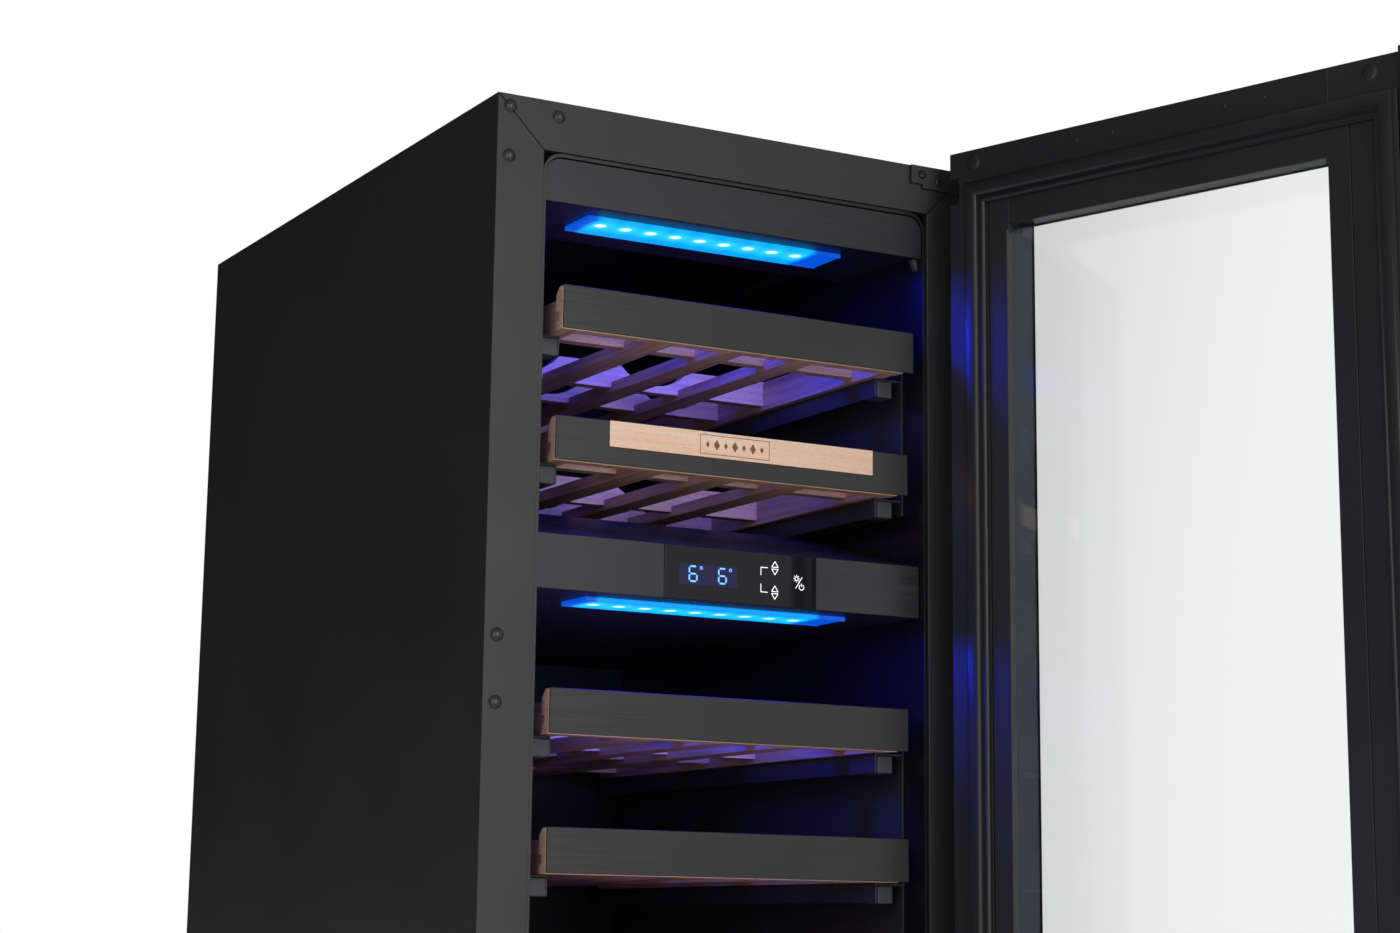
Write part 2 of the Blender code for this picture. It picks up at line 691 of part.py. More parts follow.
def zone_divider():
    """Insulated shelf between the two zones, with a pocket for the control board."""
    front = DIVIDER_SET_BACK
    rear = CAVITY_REAR - GAP
    outline = [(front, DIVIDER_BOTTOM), (front, DIVIDER_FRONT_TOP),
               (front + DIVIDER_SLOPE_RUN, DIVIDER_TOP), (rear, DIVIDER_TOP), (rear, DIVIDER_BOTTOM)]
    divider = prism("zone_divider", outline, "X", -FIT_X, FIT_X)
    pocket_low = (CONTROL_LEFT - POCKET_MARGIN, front - OVERSHOOT, DIVIDER_BOTTOM + POCKET_RIM)
    pocket_high = (CONTROL_RIGHT + POCKET_MARGIN, front + POCKET_DEPTH, DIVIDER_FRONT_TOP - POCKET_RIM)
    return cut(divider, box("pocket", pocket_low, pocket_high))


def control_fascia():
    """Brushed plate on the divider's face, recessed for the control glass."""
    front = CONTROL_SET_BACK + CONTROL_STAND_OUT
    wide = FIT_X - GAP
    plate = box("control_fascia", (-wide, front, DIVIDER_BOTTOM),
                (wide, DIVIDER_SET_BACK - GAP, DIVIDER_FRONT_TOP))
    recess_low = (CONTROL_LEFT - GAP, front - OVERSHOOT, DIVIDER_BOTTOM - OVERSHOOT)
    recess_high = (CONTROL_RIGHT + GAP, CONTROL_SET_BACK + CONTROL_THICKNESS + GAP,
                   DIVIDER_FRONT_TOP + OVERSHOOT)
    return cut(plate, box("recess", recess_low, recess_high))


def air_cover(name, low, high):
    """Tray over an evaporator: grille slots in its face and a boss for the fan motor."""
    wide = FIT_X - GAP
    rear = CAVITY_REAR - GAP
    tray = box(name, (-wide, COVER_FRONT, low), (wide, rear, high))
    inside = box("inside", (-wide + COVER_WALL, COVER_FRONT + COVER_WALL, low + COVER_WALL),
                 (wide - COVER_WALL, rear + OVERSHOOT, high - COVER_WALL))
    middle = (low + high) / 2
    slots = []
    for i in range(-AIR_SLOTS_ASIDE, AIR_SLOTS_ASIDE + 1):
        x = i * AIR_SLOT_PITCH
        reach = math.sqrt(FAN_RADIUS ** 2 - x ** 2)
        spans = [(middle - reach, middle + reach)]
        if abs(x) < FAN_HUB:
            spans = [(middle - reach, middle - FAN_HUB), (middle + FAN_HUB, middle + reach)]
        for bottom, top in spans:
            slots.append(((x - AIR_SLOT_WIDTH / 2, COVER_FRONT - OVERSHOOT, bottom),
                          (x + AIR_SLOT_WIDTH / 2, COVER_FRONT + COVER_WALL + GAP, top)))
    tray = cut(tray, inside, boxes("slots", slots))
    boss_end = FAN_Y - FAN_DEPTH / 2 - BOSS_GAP
    return join(tray, rod("boss", BOSS_RADIUS, COVER_FRONT + COVER_WALL / 2, boss_end, (0, middle), "Y"))


def evaporator(name, low, high):
    """Cold plate behind an air cover."""
    rear = CAVITY_REAR - EVAPORATOR_BACK_ROOM
    wide = FIT_X - EVAPORATOR_MARGIN
    return box(name, (-wide, rear - EVAPORATOR_THICKNESS, low), (wide, rear, high))


def shelf_support(name, side, shelf_heights):
    """Moulded wall strip with a lipped ledge under each shelf, drawn as one section."""
    wall = FIT_X
    face = FIT_X - SUPPORT_PLATE
    tip = face - SUPPORT_LEDGE
    thin = SUPPORT_LEDGE_THICKNESS
    strip_top = max(shelf_heights) + SUPPORT_END
    strip_bottom = min(shelf_heights) - SUPPORT_END
    outline = [(wall, strip_top), (wall, strip_bottom), (face, strip_bottom)]
    for height in sorted(shelf_heights):
        top = height - TRIM_UNDERCUT - GAP
        outline += [(face, top - thin), (tip + thin, top - thin), (tip + thin, top - SUPPORT_LIP),
                    (tip, top - SUPPORT_LIP), (tip, top), (face, top)]
    outline.append((face, strip_top))
    strip = prism(name, mirrored(outline, -side), "Y", SUPPORT_FRONT, SUPPORT_REAR)
    if min(shelf_heights) - SUPPORT_LIP > CAVITY_STEP_Z:
        return strip
    step = box("step", (-HALF, CAVITY_STEP_Y - SUPPORT_STEP_ROOM, 0),
               (HALF, DEPTH, CAVITY_STEP_Z + COVER_STEP_LIFT))
    return cut(strip, step)


# ---- Shelves -------------------------------------------------------------------------------------

def cross_board(y, bottles):
    """Board across a rack, scalloped to cradle bottles at the given places."""
    half = RACK_HALF - RACK_RAIL_WIDTH / 2
    centre = BOTTLE_FLOOR + BOTTLE_RADIUS
    reach = math.degrees(math.acos((centre - CROSS_TOP) / BOTTLE_RADIUS))
    outline = [(-half, CROSS_LOW), (-half, CROSS_TOP)]
    for x in bottles:
        outline += arc((x, centre), BOTTLE_RADIUS, 270 - reach, 270 + reach, 8)
    outline += [(half, CROSS_TOP), (half, CROSS_LOW)]
    return prism("cross", outline, "Y", y, y + CROSS_THICKNESS)


def rack(name, rear):
    """Beech rack in one glued piece, its front board's lower front edge at the origin line."""
    front = TRIM_THICKNESS + GAP
    back = front + RACK_FRONT
    low = -TRIM_UNDERCUT
    high = TRIM_HEIGHT - TRIM_UNDERCUT
    bottom, top = BOARD_GROOVE_BOTTOM, 2 * BOARD_GROOVE_BOTTOM
    section = [(front, low), (back, low), (back, bottom), (back - BOARD_GROOVE_DEPTH, bottom),
               (back - BOARD_GROOVE_DEPTH, top), (back, top), (back, high - BOARD_CHAMFER),
               (back - BOARD_CHAMFER, high), (front, high)]
    board = prism(name, section, "X", -RACK_HALF, RACK_HALF)
    lengthwise = []
    outside = RACK_HALF - RAIL_INSET
    start = back - GLUE_DEPTH
    for side in (-1, 1):
        edges = sorted((side * outside, side * (outside - RACK_RAIL_WIDTH)))
        lengthwise.append(((edges[0], start, low), (edges[1], rear, low + RACK_RAIL_HEIGHT)))
    for place in (-1, 0, 1):
        x = place * (BOTTLE_PITCH + SLAT_SPREAD)
        lengthwise.append(((x - SLAT_WIDTH / 2, start, low),
                           (x + SLAT_WIDTH / 2, rear, low + SLAT_THICKNESS)))
    near = [-1.5 * BOTTLE_PITCH, 0.5 * BOTTLE_PITCH]
    far = [-0.5 * BOTTLE_PITCH, 1.5 * BOTTLE_PITCH]
    crosses = [cross_board(CROSS_1, near), cross_board(min(CROSS_2, rear - CROSS_1), near)]
    if rear > LONG_RACK:
        crosses.append(cross_board(CROSS_3, far))
        crosses.append(cross_board(rear - CROSS_LAST, far))
    else:
        crosses.append(cross_board(rear - SHORT_CROSS_LAST, near))
    return join(board, boxes("lengthwise", lengthwise), together("crosses", crosses))


def front_trim(name):
    """Black steel strip on the face of a shelf."""
    high = (RACK_HALF + TRIM_OVERHANG, TRIM_THICKNESS, TRIM_HEIGHT)
    return box(name, (-RACK_HALF, 0, 0), high)


# ---- Refrigeration -------------------------------------------------------------------------------

def fan(name, radius):
    """Axial fan drawn about its own axle, which runs along Y."""
    hub = rod(name, FAN_HUB, -FAN_DEPTH / 2, FAN_DEPTH / 2, (0, 0), "Y")
    blades = []
    root = FAN_HUB - BLADE_SINK
    for i in range(BLADES):
        outline = [(root, -BLADE_ROOT / 2), (radius * 0.7, -BLADE_BELLY / 2), (radius, -BLADE_TIP / 2),
                   (radius, BLADE_TIP / 2), (radius * 0.7, BLADE_BELLY / 2), (root, BLADE_ROOT / 2)]
        blade = prism("blade", outline, "Y", -BLADE_THICKNESS / 2, BLADE_THICKNESS / 2)
        blade.data.transform(Matrix.Rotation(math.radians(BLADE_TILT), 4, "X"))
        blade.data.transform(Matrix.Rotation(2 * math.pi * i / BLADES, 4, "Y"))
        blades.append(blade)
    return join(hub, together("blades", blades))


def compressor():
    """Welded compressor can with its seam flange."""
    radius = COMPRESSOR_RADIUS
    height = COMPRESSOR_HEIGHT
    low = BASE_SHEET + COMPRESSOR_LIFT
    seam = low + height * 0.5
    can = turned("compressor", [
        (0, low), (radius * 0.8, low), (radius * 0.96, low + 0.007), (radius, low + 0.015), (radius, seam),
        (radius + COMPRESSOR_SEAM, seam), (radius + COMPRESSOR_SEAM, seam + COMPRESSOR_SEAM),
        (radius, seam + COMPRESSOR_SEAM), (radius, low + height * 0.78),
        (radius * 0.93, low + height * 0.90), (radius * 0.72, low + height * 0.98),
        (0, low + height)], steps=32)
    move(can, Vector((*COMPRESSOR_AT, 0)))
    return can


def condenser():
    """Condenser block: upright fins on one header plate."""
    front = BAY_FRONT + CONDENSER_ROOM
    rear = front + CONDENSER_DEPTH
    pitch = (CONDENSER_WIDTH - FIN_THICKNESS) / (FINS - 1)
    outline = [(CONDENSER_LEFT, rear), (CONDENSER_LEFT + CONDENSER_WIDTH, rear)]
    for i in reversed(range(FINS)):
        x = CONDENSER_LEFT + i * pitch
        if i < FINS - 1:
            outline.append((x + FIN_THICKNESS, rear - FIN_HEADER))
        outline += [(x + FIN_THICKNESS, front), (x, front)]
        if i > 0:
            outline.append((x, rear - FIN_HEADER))
    return prism("condenser", outline, "Z", CONDENSER_LOW, CONDENSER_HIGH)


def condenser_fan_frame():
    """Square housing of the condenser fan with the strut that carries its motor."""
    front = BAY_FRONT + FAN_FRAME_ROOM
    rear = front + FAN_FRAME_DEPTH
    half = FAN_FRAME / 2
    x = CONDENSER_FAN_X
    z = CONDENSER_FAN_Z
    frame = box("condenser_fan_frame", (x - half, front, z - half), (x + half, rear, z + half))
    bore = rod("bore", half - FAN_FRAME_WALL, front - OVERSHOOT, rear + OVERSHOOT, (x, z), "Y", steps=40)
    reach = half - FAN_FRAME_WALL / 2
    strut = box("strut", (x - reach, rear - STRUT_THICKNESS, z - FAN_FRAME_STRUT / 2),
                (x + reach, rear, z + FAN_FRAME_STRUT / 2))
    return join(cut(frame, bore), strut)


def drain_tray():
    """Open tray that catches and evaporates the defrost water."""
    left = -HALF + FOOT_INSET_X + TRAY_STUD_ROOM
    front = BAY_FRONT + TRAY_ROOM
    low = BASE_SHEET + TRAY_LIFT
    right = left + TRAY_LENGTH
    rear = front + TRAY_DEPTH
    tray = box("drain_tray", (left, front, low), (right, rear, low + TRAY_HEIGHT))
    room = box("room", (left + TRAY_WALL, front + TRAY_WALL, low + TRAY_WALL),
               (right - TRAY_WALL, rear - TRAY_WALL, low + TRAY_HEIGHT + OVERSHOOT))
    return cut(tray, room)


# ---- Hinges and door -----------------------------------------------------------------------------

def hinge_bracket(name, leaf_outline, arm_low):
    """Hinge leaf on the cabinet's face, with the arm and pin that carry the door."""
    face = -GAP - HINGE_LEAF
    edge = INNER_X
    arm_high = arm_low + HINGE_PLATE
    leaf = prism(name, leaf_outline, "Y", face, -GAP)
    arm = box("arm", (edge - HINGE_ARM, HINGE_Y, arm_low), (edge, face + HINGE_WELD, arm_high))
    eye = rod("eye", HINGE_EYE, arm_low, arm_high, (HINGE_X, HINGE_Y))
    pin = rod("pin", HINGE_PIN, arm_low + HINGE_WELD, arm_high + HINGE_PIN_LENGTH, (HINGE_X, HINGE_Y))
    leaf = join(leaf, arm)
    leaf = join(leaf, eye)
    return join(leaf, pin)


def top_bracket():
    low = HEIGHT - TOP_ARM_DROP
    step = HALF - LEAF_LENGTH
    end = step - TONGUE_LENGTH
    outline = [(end, HEIGHT - GAP), (INNER_X, HEIGHT - GAP), (INNER_X, low), (step, low),
               (step, low + HINGE_PLATE), (end, low + HINGE_PLATE)]
    return hinge_bracket("top_hinge_bracket", outline, low)


def bottom_bracket():
    low = BOTTOM_ARM_Z - BOTTOM_LEAF_DROP
    high = BOTTOM_ARM_Z + HINGE_LEAF
    outline = [(HALF - LEAF_LENGTH, low), (INNER_X, low), (INNER_X, high), (HALF - LEAF_LENGTH, high)]
    return hinge_bracket("bottom_hinge_bracket", outline, BOTTOM_ARM_Z)


def pin_bore(arm_low):
    """Room in the door for a hinge pin, from under its lower edge to past the pin's end."""
    start = arm_low + HINGE_PLATE
    end = start + HINGE_PIN_LENGTH + HINGE_BORE_END
    return rod("bore", HINGE_PIN + HINGE_BORE_GAP, start - HINGE_WELD, end, (HINGE_X, HINGE_Y))


def door_frame():
    """Extruded frame of the door, notched round the top hinge's arm."""
    outer = (DOOR_FREE, DOOR_BOTTOM, HALF, DOOR_TOP)
    inner = (GLAZED_FREE, GLAZED_BOTTOM, GLAZED_HINGE, GLAZED_TOP)
    frame = ring("door_frame", outer, inner, DOOR_FRONT, -DOOR_BACK)
    arm_low = HEIGHT - TOP_ARM_DROP
    left = HINGE_X - HINGE_EYE - HINGE_NOTCH
    right = HALF + OVERSHOOT
    front = HINGE_Y - HINGE_NOTCH_DEPTH
    inner = INNER_X - HINGE_ARM - HINGE_BORE_END
    behind = HINGE_Y + HINGE_EYE + HINGE_NOTCH
    back = -DOOR_BACK + OVERSHOOT
    outline = [(left, front), (right, front), (right, back), (inner, back), (inner, behind), (left, behind)]
    notch = prism("notch", outline, "Z", arm_low - HINGE_NOTCH_DROP, arm_low + HINGE_PLATE + HINGE_NOTCH)
    return cut(frame, notch, pin_bore(arm_low), pin_bore(BOTTOM_ARM_Z))


def door_gasket():
    """Magnetic seal on the back of the door, opposite the middle of the cabinet's flanges."""
    hinge = HALF - STILE + GASKET_ON_STILE
    free = DOOR_FREE + GASKET_EDGE
    top = HEIGHT - TOP_ARM_DROP - GASKET_EDGE
    outer = (free, SEAL_LINE_BOTTOM, hinge, top)
    inner = (free + GASKET_WIDTH, SEAL_LINE_BOTTOM + GASKET_WIDTH, hinge - GASKET_WIDTH, top - GASKET_WIDTH)
    return ring("door_gasket", outer, inner, -DOOR_BACK + GAP, -GAP)


def door_inner_trim():
    """Moulded surround that holds the inner pane in the frame."""
    slack = INNER_TRIM_SLACK
    outer = (GLAZED_FREE + slack, GLAZED_BOTTOM + slack, GLAZED_HINGE - slack, GLAZED_TOP - slack)
    inner = (outer[0] + INNER_TRIM_FREE, outer[1] + INNER_TRIM_BOTTOM,
             outer[2] - INNER_TRIM_SIDE, outer[3] - INNER_TRIM_TOP)
    return ring("door_inner_trim", outer, inner, -DOOR_BACK - GAP - INNER_TRIM_DEPTH, -DOOR_BACK - GAP)


def door_inner_pane():
    low = (GLAZED_FREE + PANE_MARGIN, PANE_BACK - INNER_GLASS, GLAZED_BOTTOM + PANE_MARGIN)
    return box("door_inner_pane", low, (GLAZED_HINGE - PANE_MARGIN, PANE_BACK, GLAZED_TOP - PANE_MARGIN))


def door_spacer():
    """Hollow-section bar that keeps the two panes apart."""
    outer = (GLAZED_FREE + SPACER_INSET, GLAZED_BOTTOM + SPACER_INSET,
             GLAZED_HINGE - SPACER_INSET, GLAZED_TOP - SPACER_INSET)
    inner = (outer[0] + SPACER_WIDTH, outer[1] + SPACER_WIDTH,
             outer[2] - SPACER_WIDTH, outer[3] - SPACER_WIDTH)
    return ring("door_spacer", outer, inner, DOOR_FRONT, PANE_BACK - INNER_GLASS - GAP)


def door_outer_glass():
    low = (DOOR_FREE + GAP, DOOR_FRONT - GAP - OUTER_GLASS, DOOR_BOTTOM)
    return box("door_outer_glass", low, (HALF, DOOR_FRONT - GAP, DOOR_TOP))


def door_handle():
    """Full-height handle on the free edge, with a finger groove between its end caps."""
    back = -HANDLE_BACK
    front = back - HANDLE_DEPTH
    low = DOOR_BOTTOM - HANDLE_UNDERRUN
    high = DOOR_TOP + HANDLE_OVERRUN
    bar = box("door_handle", (-HALF, front, low), (DOOR_FREE - GAP, back, high))
    mouth = -HALF - OVERSHOOT
    floor = -HALF + GRIP_DEPTH
    groove = [(mouth, back - GRIP_BACK), (floor, back - GRIP_BACK - GRIP_SPLAY),
              (floor, front + GRIP_FRONT + GRIP_SPLAY), (mouth, front + GRIP_FRONT)]
    return cut(bar, prism("groove", groove, "Z", low + HANDLE_END, high - HANDLE_END))


# ---- Assembly ------------------------------------------------------------------------------------

def clear_scene():
    for item in list(bpy.data.objects):
        bpy.data.objects.remove(item)


def build_cabinet(root, finishes):
    steel = finishes["black_steel"]
    fit(side_panel("left_side_panel", -1), steel, root)
    fit(side_panel("right_side_panel", 1), steel, root)
    fit(top_panel(), steel, root)
    back_low = (-INNER_X, BACK_INNER, COVER_PLATE_TOP + BACK_PANEL_SEAM)
    back_high = (INNER_X, BACK_OUTER, HEIGHT - TOP_RETURN - BACK_PANEL_SEAM)
    fit(box("back_panel", back_low, back_high), finishes["zinc_steel"], root)
    fit(base_plate(), finishes["zinc_steel"], root)
    fit(bay_partition(), finishes["zinc_steel"], root)
    fit(bottom_rail(), steel, root)
    fit(kick_grille(), finishes["black_plastic"], root)
    fit(bay_cover(), finishes["zinc_steel"], root)
    fit(cord_grommet(), finishes["rubber"], root)
    fit(top_bracket(), steel, root)
    fit(bottom_bracket(), steel, root)


def build_interior(root, finishes):
    plastic = finishes["liner_plastic"]
    brushed = finishes["brushed_black"]
    fit(liner(), plastic, root)
    fit(insulation(), finishes["foam"], root)
    fit(top_fascia(), brushed, root)
    fit(zone_divider(), plastic, root)
    fit(control_fascia(), brushed, root)
    glass_low = (CONTROL_LEFT, CONTROL_SET_BACK, DIVIDER_BOTTOM + GAP)
    glass_high = (CONTROL_RIGHT, CONTROL_SET_BACK + CONTROL_THICKNESS, DIVIDER_FRONT_TOP - GAP)
    fit(box("control_glass", glass_low, glass_high), finishes["panel_glass"], root)
    board_front = DIVIDER_SET_BACK + BOARD_SET_IN
    board_low = (CONTROL_LEFT + BOARD_MARGIN, board_front, DIVIDER_BOTTOM + BOARD_RIM)
    board_high = (CONTROL_RIGHT - BOARD_MARGIN, board_front + BOARD_THICKNESS, DIVIDER_FRONT_TOP - BOARD_RIM)
    fit(box("control_board", board_low, board_high), finishes["circuit_board"], root)
    for name, top, front in (("upper_led_bar", FASCIA_SHELF_Z - GAP, FASCIA_SET_BACK + UPPER_LED_BACK),
                             ("lower_led_bar", DIVIDER_BOTTOM - GAP, DIVIDER_SET_BACK + LOWER_LED_BACK)):
        low = (-LED_LENGTH / 2, front, top - LED_THICKNESS)
        fit(box(name, low, (LED_LENGTH / 2, front + LED_WIDTH, top)), finishes["lamp_lens"], root)
    supports = (("upper", UPPER_SHELF_Z), ("lower", LOWER_SHELF_Z))
    for zone, heights in supports:
        for word, side in (("left", -1), ("right", 1)):
            strip = shelf_support(f"{zone}_{word}_shelf_support", side, heights)
            fit(strip, finishes["grey_plastic"], root)


def build_cooling(root, finishes):
    """Evaporators and fans behind the air covers, and the set in the machine bay."""
    zones = (("upper", DIVIDER_TOP + COVER_LIFT, CAVITY_TOP - COVER_HEAD_ROOM),
             ("lower", CAVITY_STEP_Z + COVER_STEP_LIFT, DIVIDER_BOTTOM - COVER_TOP_GAP))
    for zone, low, high in zones:
        fit(air_cover(f"{zone}_air_cover", low, high), finishes["liner_plastic"], root)
        plate = evaporator(f"{zone}_evaporator", low + EVAPORATOR_END, high - EVAPORATOR_END)
        fit(plate, finishes["aluminium"], root)
        fit(fan(f"{zone}_fan", FAN_RADIUS), finishes["black_plastic"], root, (0, FAN_Y, (low + high) / 2))
    fit(compressor(), finishes["enamel_black"], root)
    fit(condenser(), finishes["aluminium"], root)
    fit(condenser_fan_frame(), finishes["black_plastic"], root)
    fit(drain_tray(), finishes["grey_plastic"], root)
    place = (CONDENSER_FAN_X, BAY_FRONT + CONDENSER_FAN_ROOM, CONDENSER_FAN_Z)
    fit(fan("condenser_fan", CONDENSER_FAN_RADIUS), finishes["black_plastic"], root, place)


def build_feet(root, finishes):
    words = ("left_front", "left_rear", "right_front", "right_rear")
    for word, (x, y) in zip(words, foot_places()):
        fit(foot(f"{word}_foot"), finishes["rubber"], root, (x, y, 0))


def build_shelves(root, finishes):
    """Six shelves, each on a handle that slides it forwards; the lowest stops short of the step."""
    heights = UPPER_SHELF_Z + LOWER_SHELF_Z
    for number, height in enumerate(heights, start=1):
        front = SHELF_SET_BACK - (TOP_SHELF_REST_OUT if number == 1 else 0)
        short = height < CAVITY_STEP_Z + SHORT_RACK_BELOW
        rear = (CAVITY_STEP_Y - SHORT_RACK_ROOM if short else RACK_REAR) - SHELF_SET_BACK
        handle = empty(f"shelf_{number}_slide", root, (0, front, height))
        fit(rack(f"shelf_{number}_rack", rear), finishes["beech"], handle)
        fit(front_trim(f"shelf_{number}_front_trim"), finishes["trim_steel"], handle)
        if number == 2:
            low = (INLAY_LEFT, -GAP - INLAY_THICKNESS, INLAY_LOW)
            inlay = box("shelf_2_inlay", low, (INLAY_RIGHT, -GAP, TRIM_HEIGHT))
            fit(inlay, finishes["beech"], handle)


def build_door(root, finishes):
    """The door is drawn closed and hangs on a handle on the hinge axis, which turns it open."""
    axis = empty("door_axis", root, (HINGE_X, HINGE_Y, 0), math.radians(DOOR_OPEN_DEGREES))
    back = (-HINGE_X, -HINGE_Y, 0)
    fit(door_frame(), finishes["black_plastic"], axis, back)
    fit(door_gasket(), finishes["rubber"], axis, back)
    fit(door_inner_trim(), finishes["black_plastic"], axis, back)
    fit(door_inner_pane(), finishes["clear_glass"], axis, back)
    fit(door_spacer(), finishes["aluminium"], axis, back)
    fit(door_outer_glass(), finishes["clear_glass"], axis, back)
    fit(door_handle(), finishes["black_aluminium"], axis, back)


def build():
    clear_scene()
    finishes = {
        "black_steel": material("black_steel", (0.030, 0.030, 0.031), 0.42),
        "zinc_steel": material("zinc_steel", (0.50, 0.51, 0.52), 0.45, 1.0),
        "trim_steel": material("trim_steel", (0.028, 0.029, 0.030), 0.38),
        "brushed_black": material("brushed_black", (0.020, 0.020, 0.021), 0.35, 0.6),
        "liner_plastic": material("liner_plastic", (0.010, 0.010, 0.011), 0.45),
        "black_plastic": material("black_plastic", (0.016, 0.016, 0.017), 0.48),
        "grey_plastic": material("grey_plastic", (0.055, 0.057, 0.062), 0.55),
        "rubber": material("rubber", (0.012, 0.012, 0.012), 0.75),
        "foam": material("foam", (0.80, 0.70, 0.42), 0.90),
        "beech": material("beech", (0.48, 0.28, 0.17), 0.55),
        "aluminium": material("aluminium", (0.62, 0.63, 0.65), 0.35, 1.0),
        "black_aluminium": material("black_aluminium", (0.018, 0.018, 0.019), 0.35, 0.8),
        "enamel_black": material("enamel_black", (0.010, 0.010, 0.010), 0.25),
        "panel_glass": material("panel_glass", (0.006, 0.006, 0.008), 0.08),
        "clear_glass": material("clear_glass", (0.80, 0.84, 0.84), 0.03, 0.0, 0.35),
        "lamp_lens": material("lamp_lens", (0.10, 0.62, 0.95), 0.25),
        "circuit_board": material("circuit_board", (0.02, 0.16, 0.06), 0.45),
    }
    root = empty("cabinet", None, (0, -DEPTH / 2, 0))
    build_cabinet(root, finishes)
    build_interior(root, finishes)
    build_cooling(root, finishes)
    build_feet(root, finishes)
    build_shelves(root, finishes)
    build_door(root, finishes)


build()
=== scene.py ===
"""Looks of a two-zone wine cooler: folded black steel, a brushed fascia, beech racks and a glazed door.

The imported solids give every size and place. Most of them are shown as softened copies, with their
folded or moulded edges rounded, and the small fittings that the solids leave out are added.
"""
import json
import math

import bmesh
import bpy
from mathutils import Matrix, Vector

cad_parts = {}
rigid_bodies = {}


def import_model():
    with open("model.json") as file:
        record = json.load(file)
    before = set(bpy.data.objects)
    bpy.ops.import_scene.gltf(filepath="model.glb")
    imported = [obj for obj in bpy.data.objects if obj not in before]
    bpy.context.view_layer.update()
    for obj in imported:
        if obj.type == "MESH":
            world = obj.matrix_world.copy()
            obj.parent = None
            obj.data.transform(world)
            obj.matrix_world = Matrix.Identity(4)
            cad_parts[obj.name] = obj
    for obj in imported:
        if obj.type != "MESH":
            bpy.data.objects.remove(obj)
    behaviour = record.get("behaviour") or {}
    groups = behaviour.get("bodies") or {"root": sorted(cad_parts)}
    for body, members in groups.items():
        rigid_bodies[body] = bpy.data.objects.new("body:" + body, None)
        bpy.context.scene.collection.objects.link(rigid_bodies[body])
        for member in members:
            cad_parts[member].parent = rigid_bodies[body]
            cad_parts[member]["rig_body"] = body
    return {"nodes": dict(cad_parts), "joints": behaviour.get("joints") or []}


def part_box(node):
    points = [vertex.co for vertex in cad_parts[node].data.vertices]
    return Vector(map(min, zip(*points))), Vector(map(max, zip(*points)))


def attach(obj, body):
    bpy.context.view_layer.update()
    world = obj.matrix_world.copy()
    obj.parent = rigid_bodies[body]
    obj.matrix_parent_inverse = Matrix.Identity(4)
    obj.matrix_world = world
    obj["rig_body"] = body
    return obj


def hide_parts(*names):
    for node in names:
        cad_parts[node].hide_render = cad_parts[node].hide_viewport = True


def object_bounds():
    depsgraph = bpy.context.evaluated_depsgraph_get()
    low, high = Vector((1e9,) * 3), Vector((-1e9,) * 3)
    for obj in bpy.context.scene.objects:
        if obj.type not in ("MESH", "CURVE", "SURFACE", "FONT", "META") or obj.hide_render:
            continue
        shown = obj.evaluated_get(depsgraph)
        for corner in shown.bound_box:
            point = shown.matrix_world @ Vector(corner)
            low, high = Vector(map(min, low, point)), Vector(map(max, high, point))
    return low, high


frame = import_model()
CAD_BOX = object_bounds()

MM = 0.001
SMOOTH = math.radians(40)
MARK_THICK = 0.06 * MM  # lit marks on the control glass
HAIR = 0.02 * MM  # clears two faces that would otherwise lie in one plane
FACING_FRONT = Matrix.Rotation(math.radians(90), 4, "X")
FACING_BACK = Matrix.Rotation(math.radians(-90), 4, "X")

# ---- Places read from the frame ------------------------------------------------------------------

STILE_LOW, STILE_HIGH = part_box("left_side_panel")
FRONT = STILE_LOW.y
CABINET_TOP = STILE_HIGH.z
HALF_WIDTH = -STILE_LOW.x
HINGE = next(joint for joint in frame["joints"] if joint["name"] == "door_hinge")
HINGE_AXIS = Vector((HINGE["pos_m"][0], HINGE["pos_m"][1], 0))
OPEN_ANGLE = math.radians(-HINGE["range_deg"][0])
DOOR_OPEN = (Matrix.Translation(HINGE_AXIS) @ Matrix.Rotation(OPEN_ANGLE, 4, "Z")
             @ Matrix.Translation(-HINGE_AXIS))
UPPER_SHELVES = (1, 2)
LOWER_SHELVES = (3, 4, 5, 6)

# Layout of the lamp lens: its lamps' number and spacing, and where their row lies
LAMPS = 9
LAMP_PITCH = 19.9 * MM
LAMP_OFFSET = 7 * MM
LAMP_LINE = 49 * MM


def body_of(node):
    """Name of the moving body that a node belongs to."""
    return frame["nodes"][node]["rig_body"]


def closed_box(node):
    """Box of one of the door's nodes with the door turned shut."""
    shut = DOOR_OPEN.inverted()
    points = [shut @ vertex.co for vertex in frame["nodes"][node].data.vertices]
    low = Vector([min(point[i] for point in points) for i in range(3)])
    high = Vector([max(point[i] for point in points) for i in range(3)])
    return low, high


# ---- Materials -----------------------------------------------------------------------------------

def linear(code, alpha=1.0):
    """Linear colour from an sRGB hex value such as "#2f3031"."""
    channels = [int(code[i:i + 2], 16) / 255 for i in (1, 3, 5)]
    curved = [c / 12.92 if c <= 0.04045 else ((c + 0.055) / 1.055) ** 2.4 for c in channels]
    return (*curved, alpha)


def add(tree, kind, inputs=None, **settings):
    """One node with its settings; each input is a value, or a socket to link from."""
    node = tree.nodes.new(kind)
    for name, value in settings.items():
        setattr(node, name, value)
    for name, value in (inputs or {}).items():
        if isinstance(value, bpy.types.NodeSocket):
            tree.links.new(value, node.inputs[name])
        else:
            node.inputs[name].default_value = value
    return node


